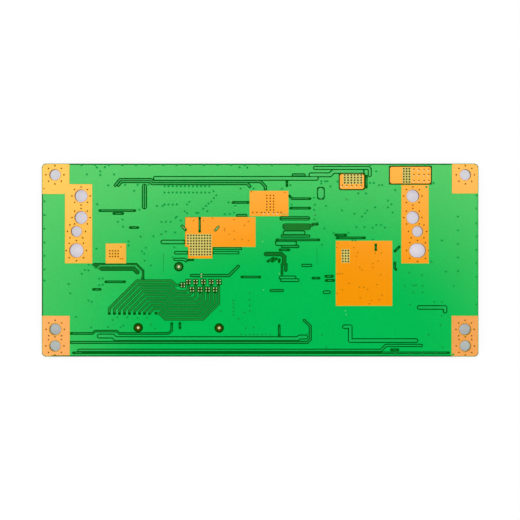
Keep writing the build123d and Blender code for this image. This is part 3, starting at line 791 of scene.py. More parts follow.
@dataclass
class Outline:
    """The edges round the upper face of a CAD node, each with the copper on its left."""

    start: np.ndarray
    end: np.ndarray
    before: np.ndarray
    after: np.ndarray

    @classmethod
    def read(cls, node: str) -> "Outline":
        """Finds the upper face's triangle edges that have no opposite twin.

        Args:
            node: The node's name.

        Returns:
            The edges' two ends, and the numbers of the edges before and after each.
        """
        co, triangles = mesh_of(node)
        triangles = triangles[(co[triangles, 2] > co[:, 2].max() - TOLERANCE).all(1)]
        flat, same = np.unique(np.round(co[triangles.ravel(), :2], 3), axis=0,
                               return_inverse=True)
        corners = same.ravel().reshape(-1, 3)
        start, end = corners.ravel(), np.roll(corners, -1, axis=1).ravel()
        outer = ~np.isin(start * len(flat) + end, end * len(flat) + start)
        start, end = start[outer], end[outer]
        by_start, by_end = np.argsort(start), np.argsort(end)
        after = by_start[np.searchsorted(start[by_start], end)]
        before = by_end[np.searchsorted(end[by_end], start)]
        return cls(flat[start], flat[end], before, after)

    @property
    def middle(self) -> np.ndarray:
        """Middles of the edges."""
        return (self.start + self.end) / 2

    @property
    def length(self) -> np.ndarray:
        """Lengths of the edges."""
        return np.linalg.norm(self.end - self.start, axis=1)

    @property
    def way(self) -> np.ndarray:
        """Directions of the edges."""
        return (self.end - self.start) / self.length[:, None]

    def ends(self, widest: float) -> tuple[np.ndarray, np.ndarray, np.ndarray]:
        """Square ends: short edges with a right-angled left turn before and after.

        Args:
            widest: Length above which an edge is no end.

        Returns:
            The ends' middles and outward directions, and their widths.
        """
        way, length = self.way, self.length
        turn = way[:, 0] * way[self.after, 1] - way[:, 1] * way[self.after, 0]
        ends = ((turn > SQUARE) & (turn[self.before] > SQUARE) & (length < widest)
                & (length < length[self.after] - TOLERANCE)
                & (length < length[self.before] - TOLERANCE))
        outward = np.stack([way[:, 1], -way[:, 0]], 1)
        return self.middle[ends], outward[ends], length[ends]

    def roundings(self, widest: float) -> np.ndarray:
        """Radii for the right-angled corners of the windows, where the outline turns right.

        Args:
            widest: The largest radius, where both sides of the corner are long enough.

        Returns:
            One radius for the corner at the start of each edge, 0 where it stays sharp.
        """
        way, last = self.way, self.way[self.before]
        turn = last[:, 0] * way[:, 1] - last[:, 1] * way[:, 0]
        room = np.minimum(self.length, self.length[self.before]) / 2
        return np.where(turn < -SQUARE, np.minimum(room, widest), 0.0)

    def hollows(self, radii: np.ndarray) -> tuple[np.ndarray, np.ndarray, np.ndarray]:
        """Where the rounded corners have their quarter turns.

        A centre lies one radius along both edges from the corner.

        Args:
            radii: Radius at the start of each edge, 0 where the corner is sharp.

        Returns:
            Centres, first directions and radii of the turns.
        """
        last = self.way[self.before]
        centres = self.start + radii[:, None] * (self.way - last)
        kept = radii > SMALLEST
        return centres[kept], last[kept], radii[kept, None]

    def strips(self, chosen: np.ndarray, inner: float, outer: float, level: float,
               radii: np.ndarray) -> tuple[np.ndarray, np.ndarray]:
        """Flat strips beside the chosen edges, which meet on the bisectors of the corners.

        At a corner with a radius a strip ends square where the corner's turn begins.

        Args:
            chosen: Which edges get a strip.
            inner: The strip's side that is farther into the copper, to the edge's left.
            outer: Its other side, negative where it lies off the copper.
            level: Height of its face.
            radii: Radius at the start of each edge, 0 where the corner is sharp.

        Returns:
            Points and quads.
        """
        way, normal = self.way, np.stack([-self.way[:, 1], self.way[:, 0]], 1)
        bend = 1 + (normal * normal[self.after]).sum(1)
        mitre = (normal + normal[self.after]) / np.maximum(bend, SHARPEST)[:, None]
        rounded = (radii > SMALLEST)[:, None]
        first = np.where(rounded, normal, mitre[self.before])
        second = np.where(rounded[self.after], normal, mitre)
        across = np.array([inner, inner, outer, outer])
        heights = np.array([level - SINK, level, level, level - SINK])
        corners = np.stack([self.start + way * radii[:, None],
                            self.end - way * radii[self.after, None]], 1)[chosen]
        sideways = np.stack([first, second], 1)[chosen]
        flat = corners[:, :, None] + sideways[:, :, None] * across[:, None]
        height = np.broadcast_to(heights[:, None], (*flat.shape[:3], 1))
        faces = repeated(grid_faces(2, 4, False, True), len(flat), 8)
        return np.concatenate([flat, height], 3), faces


def quarter_rounds(centres: np.ndarray, first: np.ndarray, radii: np.ndarray,
                   heights: np.ndarray,
                   square: bool = False) -> tuple[np.ndarray, np.ndarray]:
    """Quarter turns, each swept counter-clockwise from its first direction.

    Args:
        centres: The quarters' centres.
        first: The direction at which each begins.
        radii: A row of radii for each quarter, the outermost first.
        heights: The height at each of these radii.
        square: Whether the outermost row follows the square round the circle, where the
            radius is divided by the larger of the cosine and the sine.

    Returns:
        Points and quads.
    """
    turn = np.linspace(0, np.pi / 2, QUARTER_STEPS)
    along, across = np.cos(turn), np.sin(turn)
    left = np.stack([-first[:, 1], first[:, 0]], 1)
    ways = first[:, None] * along[:, None] + left[:, None] * across[:, None]
    scale = np.ones((len(heights), QUARTER_STEPS))
    if square:
        scale[0] = 1 / np.maximum(along, across)
    flat = centres[:, None, None] + ways[:, None] * (radii[:, :, None] * scale)[..., None]
    height = np.broadcast_to(heights[:, None, None], (*flat.shape[:3], 1))
    one = grid_faces(len(heights), QUARTER_STEPS, False, False)
    faces = repeated(one, len(flat), len(heights) * QUARTER_STEPS)
    return np.concatenate([flat, height], 3), faces


# ------------------------------------------------------------------ the solder side
@dataclass
class Levels:
    """Heights of the board's faces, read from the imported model."""

    upper: float = 0.0
    lower: float = 0.0
    plated: float = 0.0

    @classmethod
    def read(cls) -> "Levels":
        """Measures the laminate and the copper on it."""
        low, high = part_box("board")
        return cls(high.z / MM, low.z / MM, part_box("ground_pour")[1].z / MM)


class Dresser:
    """Puts finishes on the CAD nodes."""

    finishes = {
        "board": MASK_ON_LAMINATE, "ground_pour": MASK_ON_COPPER,
        "supply_traces": MASK_ON_WIDE_TRACE, "signal_traces": MASK_ON_TRACE,
        "bundle_traces": MASK_ON_CLOSE_LINES, "bus_traces": MASK_ON_BUS_LINE,
        "land_left": GOLD_WITH_PAINTED_LEFT_SHEEN, "land_bottom": GOLD_WITH_PAINTED_LOWER_SHEEN, "land_top": GOLD_WITH_PAINTED_TOP_SHEEN,
        "land_": IMMERSION_GOLD, "fiducial_": FIDUCIAL_GOLD_AND_GLINT,
        "test_pads": TIN_PAD_AND_GLINT, "_housing": NYLON, "_shell": STEEL, "_can": STEEL,
        "_core": FERRITE, "_shield": FERRITE, "_winding": WINDING,
        "capacitor_bodies": CAPACITOR, "resistor_bodies": RESISTOR,
        "crystal_base": RESISTOR, "_body": MOULDING, "diode_bodies": MOULDING,
        "_ends": SOLDER, "": TINNED_LEAD}

    def dress(self, nodes: dict[str, bpy.types.Object]) -> None:
        """Gives each node the first finish whose key is in its name.

        Args:
            nodes: The CAD nodes' objects by name.
        """
        for name, node in nodes.items():
            finish = next(f for key, f in self.finishes.items() if key in name)
            node.data.materials.clear()
            node.data.materials.append(finish.material())
            LOG.info("%s: %s", name, finish.name)


@dataclass
class TraceEnds:
    """The round ends of the wide traces, and the masked vias at the ends of the others.

    A trace wider than narrow gets a round end, and a narrower one a via of via_radius that
    lies via_back behind its end. Each line of the bus gets one of line_via_radius.
    """

    levels: Levels
    narrow: float = 0.3
    widest: float = 2.4
    via_back: float = 0.2
    via_radius: float = 0.56
    line_via_back: float = 0.1
    line_via_radius: float = 0.4
    rise_mm: float = 0.012
    overlap: float = 1.02

    def build(self) -> None:
        """Rounds the wide traces, and puts a masked via at the ends of the narrow ones."""
        ends = [Outline.read(node).ends(self.widest)
                for node in ("supply_traces", "signal_traces")]
        middles, outward, widths = (np.concatenate(part) for part in zip(*ends))
        broad = widths > self.narrow
        side = np.stack([outward[:, 1], -outward[:, 0]], 1)
        radii = widths[broad, None] / 2
        centres = middles[broad] - outward[broad] * radii
        copper = Piece("rounded_trace_ends", GAP_AND_EDGE_SHADE)
        heights = self.levels.plated + np.array([self.rise_mm, self.rise_mm, 0.0])
        for first in (outward[broad], side[broad]):
            copper.add(*quarter_rounds(centres, first, radii * [self.overlap, 1.0, 1.0],
                                       heights, True))
        copper.build()
        bars = Piece("bar_end_vias", GAP_AND_EDGE_SHADE)
        self.discs(bars, middles[~broad] - outward[~broad] * self.via_back, self.via_radius)
        places, ways, _ = Outline.read("bus_traces").ends(self.widest)
        self.discs(bars, places - ways * self.line_via_back, self.line_via_radius)
        bars.build(smooth=True)

    def discs(self, piece: Piece, places: np.ndarray, radius: float) -> None:
        """Adds low discs that are hollow in the middle.

        Args:
            piece: The piece that gets them.
            places: Their middles.
            radius: Their radius.
        """
        radii = radius * np.array([1.0, 0.85, 0.3, 0.0])
        heights = self.rise_mm * np.array([0.0, 1.0, 1.0, 0.5])
        piece.add(*dishes(places, radii, heights, self.levels.plated))


@dataclass
class MaskEdges:
    """Painted shade where the mask steps down from the copper: dark lines by the etched edges.

    It also draws the borders of the lands, the moats of the two that stand alone, and the
    patches where the mask runs dark or bright over closely spaced lines. A run is a path
    with its width, and a box is its low x, low y, high x and high y.
    """

    levels: Levels
    step_mm: float = 0.07
    bus_step_mm: float = 0.1
    overhang: float = 0.02
    lift: float = 0.003
    buses: tuple[tuple[float, float, float, float], ...] = (
        (-49.5, -21.0, -13.5, -5.9), (-56.0, -21.0, -49.5, -12.0))
    bordered: tuple[str, ...] = (
        "land_bottom_left", "land_bottom_right", "land_heat_spreader", "land_left",
        "land_left_middle", "land_processor", "land_right_column", "land_top_right",
        "land_upper_middle")
    moated: tuple[str, ...] = ("land_regulator", "land_converter")
    land_margin: float = 0.4
    inside_edges: tuple[float, float] = (78.9, 34.5)
    longest_slot: float = 6.5
    widest_slot: float = 2.4
    border: tuple[float, float] = (0.02, -0.14)
    moat: tuple[float, float] = (-0.01, -0.46)
    dark_runs: tuple[tuple[Path, float], ...] = (
        (((-65.0, -33.72), (44.4, -33.72)), 0.95),
        (((-76.0, -34.82), (70.0, -34.82)), 0.3))
    block_runs: tuple[tuple[Path, float], ...] = (
        (((8.7, 12.05), (18.0, 12.05)), 2.5), (((17.9, 12.55), (19.4, 12.8)), 1.3),
        (((18.9, 13.0), (20.4, 13.15)), 0.6), (((-61.3, -1.55), (-58.0, -3.6)), 0.5))
    bright_runs: tuple[tuple[Path, float], ...] = (
        (((-65.0, -34.38), (44.4, -34.38)), 0.36),
        (((-58.6, -2.1), (-45.4, -2.1), (-43.3, -4.2), (-43.3, -6.3)), 0.42),
        (((7.4, 16.75), (17.9, 16.75)), 0.3), (((8.0, 15.6), (17.7, 15.6)), 0.22),
        (((8.0, 14.65), (17.6, 14.65)), 0.2))
    thin_runs: tuple[tuple[Path, float], ...] = (
        (((-15.1, 12.2), (-16.4, 10.75)), 0.34), (((-28.5, 12.5), (-27.3, 11.25)), 0.3))
    pour_runs: tuple[tuple[Path, float], ...] = ((((79.3, -20.3), (79.3, 25.3)), 0.34),)
    roundest: float = 0.84

    def inside(self, places: np.ndarray, box: tuple[float, ...]) -> np.ndarray:
        """Which places lie in a box."""
        return ((places > box[:2]) & (places < box[2:])).all(1)

    def build(self) -> None:
        """Makes the shaded edges, the borders, the moats and the patches."""
        self.pour()
        self.lands()
        for name, finish, runs, rise in (
                ("dark_mask_runs", GAP_AND_EDGE_SHADE, self.dark_runs, 0.012),
                ("masked_line_blocks", MASK_OVER_LINE_BLOCK, self.block_runs, 0.014),
                ("bright_mask_runs", MASK_ON_WIDE_TRACE, self.bright_runs, 0.016),
                ("thin_mask_runs", MASK_ON_THIN_LINE, self.thin_runs, 0.016),
                ("pour_edge", MASK_ON_COPPER, self.pour_runs, 0.004)):
            piece = Piece(name, finish)
            for path, width in runs:
                piece.add(*ribbon(np.array(path), width, self.levels.plated - SINK,
                                  SINK + rise))
            piece.build()

    def pour(self) -> None:
        """Rounds the windows in the ground copper, and paints shade along the edges round them.
        """
        level = self.levels.plated + self.lift
        pour = Outline.read("ground_pour")
        middle = pour.middle
        free = (np.abs(middle) < self.inside_edges).all(1)
        for land in self.bordered + self.moated:
            low, high = (np.array(corner[:2]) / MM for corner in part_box(land))
            free &= ~self.inside(middle, (*(low - self.land_margin),
                                          *(high + self.land_margin)))
        bus = np.any([self.inside(middle, box) for box in self.buses], axis=0)
        radii = np.where(free & free[pour.before] & ~bus, pour.roundings(self.roundest), 0.0)
        self.corners("rounded_window_corners", MASK_ON_COPPER, pour.hollows(radii))
        land = Outline.read("land_processor")
        slots = land.roundings(self.roundest)
        slots[np.minimum(land.length, land.length[land.before]) > self.widest_slot] = 0.0
        self.corners("rounded_slot_corners", IMMERSION_GOLD, land.hollows(slots))
        # Dark strips on the copper beside its etched edges: painted shade.
        shade = Piece("mask_edge_shading", GAP_AND_EDGE_SHADE)
        shade.add(*pour.strips(free & ~bus, self.step_mm, -self.overhang, level, radii))
        centres, first, rounds = pour.hollows(radii)
        shade.add(*quarter_rounds(centres, first, rounds + [self.step_mm, 0.0],
                                  np.array([level, level])))
        shade.build()
        edges = Piece("bus_edge_shading", BUS_EDGE_SHADE)
        edges.add(*pour.strips(free & bus, self.bus_step_mm, -self.overhang, level, radii))
        edges.build()

    def lands(self) -> None:
        """Draws the mask's lap on most lands, and the bare ring round the other two."""
        for name, finish, nodes, sides, shortest in (
                ("land_borders", LAND_BORDER, self.bordered, self.border,
                 self.longest_slot),
                ("land_moats", MOAT, self.moated, self.moat, 0.0)):
            piece = Piece(name, finish)
            for node in nodes:
                outline = Outline.read(node)
                piece.add(*outline.strips(outline.length > shortest, *sides,
                                          self.levels.plated + self.lift,
                                          np.zeros(len(outline.start))))
            piece.build()

    def corners(self, name: str, finish: Finish,
                hollows: tuple[np.ndarray, np.ndarray, np.ndarray]) -> None:
        """Fills the corners of etched windows, so that the windows turn in an arc.

        Args:
            name: The piece's name.
            finish: Its finish.
            hollows: Centres, first directions and radii of the arcs.
        """
        centres, first, radii = hollows
        foot = self.levels.upper - self.levels.plated
        piece = Piece(name, finish)
        piece.add(*quarter_rounds(centres, first, radii * np.ones(3),
                                  self.levels.plated + np.array([0.0, 0.0, foot]), True))
        piece.build()


# ------------------------------------------------------------------ vias
class Surround(Enum):
    """What lies round a via on the solder side."""

    MASK = "tented_vias"
    GOLD = "open_vias"
    FAINT = "filled_land_vias"
    GRID = "land_grid_vias"
    GLINT = "glinting_vias"


@dataclass
class Vias:
    """All the plated holes, as small dishes on both faces.

    Each surround has the radius of its rim and that of its core, where its painted shade is
    half dark.
    """

    levels: Levels
    holes: list[tuple[float, float, float]]
    rise_mm: float = 0.018
    in_a_ring: int = 8
    ring_radius: float = 3.3
    frame_radius: float = 2.4
    ring_growth: float = 1.6
    hole_clearance: float = 0.45
    via_clearance: float = 0.9
    limit: tuple[float, float] = (78.8, 34.7)
    stitch_pitch: float = 4.95
    grid_margin: float = 0.5
    ground_mm: tuple[float, float] = (0.01, 0.002)
    below_radius: float = 0.3
    glint_shift: tuple[float, float] = (-0.22, -0.42)
    looks = {Surround.MASK: (TENTED_VIA, 0.42, 0.26), Surround.GOLD: (OPEN_VIA, 0.34, 0.26),
             Surround.FAINT: (FILLED_VIA, 0.32, 0.2), Surround.GRID: (GRID_VIA, 0.44, 0.34),
             Surround.GLINT: (OPEN_VIA, 0.34, 0.24)}

    def block(self, x0: float, y0: float, nx: int, ny: int, dx: float,
              dy: float) -> list[tuple[float, float]]:
        """A grid of places from its upper left corner."""
        return [(x0 + i * dx, y0 - j * dy) for i in range(nx) for j in range(ny)]

    def rings(self) -> list[tuple[float, float]]:
        """Eight vias round each screw hole, without those that meet a hole or another.

        Returns:
            Their places, as x and y.
        """
        found: list[tuple[float, float]] = []
        for x, y, radius in self.holes:
            reach = (self.ring_radius
                     + max(0.0, radius - self.frame_radius) * self.ring_growth)
            for angle in np.arange(self.in_a_ring) * 2 * np.pi / self.in_a_ring:
                place = (x + reach * np.cos(angle), y + reach * np.sin(angle))
                clear = all(np.hypot(place[0] - a, place[1] - b) > r + self.hole_clearance
                            for a, b, r in self.holes)
                apart = all(np.hypot(place[0] - a, place[1] - b) > self.via_clearance
                            for a, b in found)
                if clear and apart and (np.abs(place) < self.limit).all():
                    found.append(place)
        return found

    def stitching(self) -> list[tuple[float, float]]:
        """Vias along the four edges, at an even pitch, and one inner column.

        Returns:
            Their places, as x and y.
        """
        upper = [(-65.0 + k * self.stitch_pitch, 34.6) for k in range(15)]
        upper += [(x, 34.6) for x in (13.7, 28.8, 40.2, 52.2, 59.9)]
        lower = [(-64.6 + k * self.stitch_pitch, -34.35) for k in range(27)]
        left = [(-78.5, y) for y in (21.4, 16.4, 11.45, 6.4, 1.6, -3.4, -7.5)]
        right = [(78.8, y) for y in (23.6, 18.7, 13.4, 8.6, 3.7, -1.1, -6.1, -16.2)]
        inner = [(72.0, 15.8 - k * self.stitch_pitch) for k in range(5)]
        return upper + lower + left + right + inner

    def under_connectors(self) -> list[tuple[float, float]]:
        """Rows where the input's pairs, and the outputs' buses, change sides.

        Returns:
            Their places, as x and y.
        """
        rows = [(-34.8 + k * 1.48, y) for y in (26.85, 24.6) for k in range(12)]
        rows += [(-6.85 + k * 1.5, -27.1) for k in range(8)]
        rows += [(-9.7, y) for y in (-14.7, -15.85, -17.2, -18.65, -19.95)]
        return rows + [(-3.8, y) for y in (-11.9, -14.4, -16.6, -18.6)]

    def field(self) -> list[tuple[float, float]]:
        """Single vias in the pour, each where its own trace goes through.

        Returns:
            Their places, as x and y.
        """
        upper = [
            (-63.1, 31.2), (-53.2, 31.2), (-49.2, 27.4), (-44.6, 27.4), (-40.6, 27.5),
            (-45.9, 25.2), (-43.9, 18.3), (-59.3, 20.3), (-55.3, 27.2), (-58.2, 32.3),
            (-58.2, 31.0), (-59.5, 33.7), (-56.5, 33.85), (-50.1, 14.75), (-51.8, 13.9),
            (-35.9, 13.9), (-34.3, 13.9), (-32.6, 13.95), (-30.8, 15.4), (-30.4, 15.8),
            (-28.9, 14.4), (-37.6, 19.7), (-35.5, 19.75), (-34.8, 20.25), (-33.4, 20.25),
            (-31.8, 20.2), (-30.3, 20.3), (-27.5, 17.75), (-26.6, 17.1), (-17.0, 25.1),
            (-15.9, 23.6), (-16.8, 22.6), (-25.75, 21.2), (-26.6, 20.3), (-17.8, 21.3),
            (-18.8, 20.6), (-19.7, 19.7), (-20.75, 18.7), (-19.2, 17.8), (-23.25, 17.2),
            (-22.4, 17.2), (-11.6, 21.0), (-7.1, 26.05), (-2.4, 26.0), (-9.05, 19.65),
            (-9.5, 17.3), (-12.9, 16.7), (-11.0, 16.8), (-7.5, 33.8), (-4.7, 33.7),
            (7.9, 26.0), (11.0, 27.3), (22.3, 28.7), (23.7, 28.7), (24.5, 28.7),
            (22.3, 27.8), (25.6, 26.8), (19.6, 22.7), (19.9, 20.2), (19.7, 18.3),
            (19.95, 16.4), (19.8, 14.8), (24.0, 19.7), (11.5, 20.2), (20.75, 13.6),
            (28.2, 28.6), (38.9, 28.6), (40.0, 28.1), (41.4, 28.1), (43.3, 27.3),
            (44.4, 27.3), (35.7, 24.3), (38.5, 24.3), (42.2, 32.3), (49.2, 25.5),
            (31.4, 22.2), (29.75, 18.1), (34.3, 16.8), (37.1, 15.8), (38.3, 17.1),
            (39.0, 18.0), (41.9, 19.2), (46.5, 19.2), (46.6, 21.7), (47.8, 20.3),
            (48.2, 17.3), (63.1, 28.0), (60.5, 26.6)]
        middle = [
            (44.0, 12.8), (42.3, 12.8), (66.2, 7.15), (67.6, -4.2), (54.2, -4.5),
            (58.85, -5.5), (52.6, -9.4), (55.75, -9.2), (56.75, -9.2), (59.15, -9.4),
            (70.5, -9.4), (62.3, -0.6), (-64.9, -5.0), (-63.8, -3.65), (-62.5, -3.75),
            (-60.0, -2.8), (-62.4, -1.65), (-58.6, -6.75), (-57.3, -6.7), (-58.6, -9.15),
            (-57.3, -9.0), (-69.65, -8.7), (-59.55, 4.15), (-49.9, 12.1), (-43.5, 8.55),
            (-38.9, 8.7), (-34.3, 10.4), (-36.0, 9.4), (-31.0, 10.05), (-47.9, 6.8),
            (-47.8, 5.3), (-41.6, 4.5), (-43.0, 3.2), (-42.2, 2.3), (-42.0, -0.2),
            (-39.8, -1.9), (-31.2, 4.6), (-31.8, 1.05), (33.6, 7.2), (34.7, 7.2),
            (26.7, 9.9), (32.2, 9.9), (35.1, 12.0), (38.0, 12.0), (40.9, 11.8),
            (45.4, 11.8), (41.0, 7.5), (22.5, 5.6), (23.4, 11.5)]
        lower = [
            (-62.5, -14.7), (-61.3, -15.2), (-67.0, -20.7), (-55.4, -24.35),
            (-61.5, -24.5), (-69.1, -12.1), (-38.2, -24.9), (-39.7, -23.5),
            (-41.2, -21.0), (-48.4, -20.8), (-52.0, -20.8), (-44.6, -21.0),
            (-49.8, -23.8), (-50.8, -24.4), (-53.7, -21.8), (-14.4, -18.6),
            (-5.7, -19.1), (-7.9, -21.4), (-5.3, -24.8), (-2.3, -24.5), (22.5, -27.3),
            (17.25, -26.7), (24.0, -31.8), (54.7, -16.2), (65.7, -23.7), (61.35, -27.1),
            (66.45, -31.8), (55.8, -11.8), (59.1, -11.8), (63.4, -15.3), (66.2, -15.3),
            (66.1, -20.2), (70.3, -34.35)]
        return upper + middle + lower

    def in_lands(self) -> list[tuple[float, float]]:
        """Filled single vias in the gold lands of the processor and the supply chips.

        Returns:
            Their places, as x and y.
        """
        processor = [
            (-24.2, 14.4), (-20.6, 14.4), (-17.3, 15.2), (-9.5, 14.8), (-4.2, 14.1),
            (-5.7, 12.7), (-12.9, 11.5), (-12.9, 10.75), (-9.5, 10.6), (-11.3, 9.4),
            (-9.3, 7.6), (-6.6, 7.5), (-4.2, 7.2)]
        spreader = [
            (28.2, 6.1), (27.9, 4.6), (34.1, 4.6), (35.1, 1.4), (35.6, 2.8), (41.9, 2.5),
            (44.1, 2.6), (42.9, -0.3), (41.0, -1.2), (41.0, -2.7), (36.3, -2.6),
            (37.0, -3.6), (43.9, -5.35), (28.1, -5.0), (28.95, -5.0), (29.9, -5.0),
            (32.4, -8.45), (42.5, -8.9), (36.2, -9.9), (37.8, -9.9), (39.1, -10.7),
            (29.9, -10.8), (28.1, -12.15), (36.4, -13.8), (40.6, -14.7), (39.7, -15.9),
            (44.4, -12.8), (43.4, -14.4)]
        others = [(-50.65, 4.8), (-50.8, 0.5), (-50.1, 0.5), (8.96, 24.6), (-3.2, 24.9),
                  (-78.7, 26.05)]
        return processor + spreader + others

    def in_grids(self) -> list[list[tuple[float, float]]]:
        """Close grids of vias, which carry heat and current through a land.

        Returns:
            The places of each grid, as x and y.
        """
        return [self.block(-25.2, 9.0, 8, 8, 1.0, 1.0), self.block(-26.3, 9.0, 1, 4, 1.0, 1.0),
                self.block(30.8, 31.0, 6, 4, 1.2, 0.95),
                self.block(52.3, 33.3, 3, 6, 1.02, 0.97),
                self.block(30.1, 3.5, 3, 5, 1.0, 1.0)]

    def glinting(self) -> list[tuple[float, float]]:
        """Vias that get a painted glint, a pale spot beside each rim on the same side.

        Returns:
            Their places, as x and y.
        """
        return ([(x, 17.35) for x in (1.6, 3.1, 4.9, 6.4)]
                + [(x, 27.2) for x in (29.9, 31.6, 33.4, 35.1, 36.8)]
                + [(x, y) for x in (56.0, 57.8, 59.7, 61.4) for y in (33.1, 31.2, 29.0)])

    def open_in_gold(self) -> list[tuple[float, float]]:
        """Open vias in the gold of the upper middle land and of the left middle one.

        Returns:
            Their places, as x and y.
        """
        return (self.block(2.45, 23.55, 3, 6, 1.22, 1.06)
                + self.block(-54.7, 3.35, 4, 3, 1.0, 1.02)
                + [(x, 17.35) for x in (-2.7, -1.2, 0.5, 7.6)])

    def dish(self, name: str, finish: Finish, places: list[tuple[float, float]],
             radii: list[float], rises: list[float], **settings: float) -> None:
        """Makes one piece of dishes.

        Args:
            name: The piece's name.
            finish: Its finish.
            places: The dishes' middles.
            radii: Their radii, from the rim inwards.
            rises: Their heights at these radii, as shares of the usual rise.
            settings: What else the dishes need, such as their level.
        """
        piece = Piece(name, finish)
        piece.add(*dishes(np.array(places), np.array(radii),
                          np.array(rises) * self.rise_mm, **settings))
        piece.build(smooth=True)

    def build(self) -> None:
        """Makes one piece for each kind of surround, and one for the component side."""
        ground = Piece("thin_mask_over_via_grids", GRID_GROUND)
        for group in self.in_grids():
            low = np.min(group, 0) - self.grid_margin
            high = np.max(group, 0) + self.grid_margin
            middle = (low[1] + high[1]) / 2
            foot, rise = self.ground_mm
            ground.add(*ribbon(np.array([[low[0], middle], [high[0], middle]]),
                               high[1] - low[1], self.levels.plated - foot, foot + rise))
        ground.build()
        places = {Surround.MASK: self.stitching() + self.under_connectors() + self.field(),
                  Surround.GOLD: self.open_in_gold() + self.rings(),
                  Surround.FAINT: self.in_lands(),
                  Surround.GRID: sum(self.in_grids(), []), Surround.GLINT: self.glinting()}
        for kind, group in places.items():  # a rim, a flat, a step at the core, a bottom
            finish, rim_radius, core = self.looks[kind]
            radii = [rim_radius, rim_radius * 0.95, core + CORE_EDGE, core - CORE_EDGE, 0.0]
            self.dish(kind.value, finish, group, radii, [0.0, 0.6, 0.6, 0.2, 0.1],
                      level=self.levels.plated, core=core)
        # A pale spot beside each of these vias, all shifted the same way: painted glints.
        glints = np.array(self.glinting()) + self.glint_shift
        self.dish("painted_via_rim_glints", FIDUCIAL_GOLD_AND_GLINT, glints, [0.26, 0.22, 0.12, 0.0],
                  [0.0, 1.0, 1.6, 1.8], level=self.levels.plated)
        radii = [self.below_radius * share for share in (1.0, 0.8, 0.5, 0.0)]
        self.dish("component_side_vias", TENTED_VIA, sum(places.values(), []), radii,
                  [0.0, 1.0, 0.9, 0.3], level=self.levels.lower, facing=-1)


# ------------------------------------------------------------------ holes and marks
@dataclass
class Holes:
    """The drilled walls of the holes, and the plated collar round each of them."""

    levels: Levels
    places: list[tuple[float, float, float]]
    slot: tuple[float, float, float, float] = (57.3, 3.5, 5.3, 6.1)
    wall_mm: float = 0.14
    collar_mm: float = 0.3
    chamfer: float = 0.08
    lift: float = 0.006

    def build(self) -> None:
        """Makes the walls of all the holes as one piece, and their collars as another."""
        piece = Piece("hole_walls", DRILLED_WALL)
        top, foot = self.levels.plated - SINK, self.levels.lower + SINK
        section = np.array([[0.0, top], [-self.wall_mm, top - self.chamfer],
                            [-self.wall_mm, foot], [0.0, foot]])
        # The collars take the gold that carries the painted sheen of the top land.
        collars = Piece("hole_collars", GOLD_WITH_PAINTED_TOP_SHEEN)
        face = self.levels.plated + self.lift
        collar = np.array([[-SINK, face], [-SINK, top], [self.collar_mm, top],
                           [self.collar_mm, face]])
        outlines = [(x, y, 2 * radius, 2 * radius) for x, y, radius in self.places]
        for x, y, width, length in [*outlines, self.slot]:
            curve, out = stadium(width, length)
            curve = curve + np.array([x, y])
            piece.add(*rim(curve, out, section))
            collars.add(*rim(curve, out, collar))
        piece.build()
        collars.build()


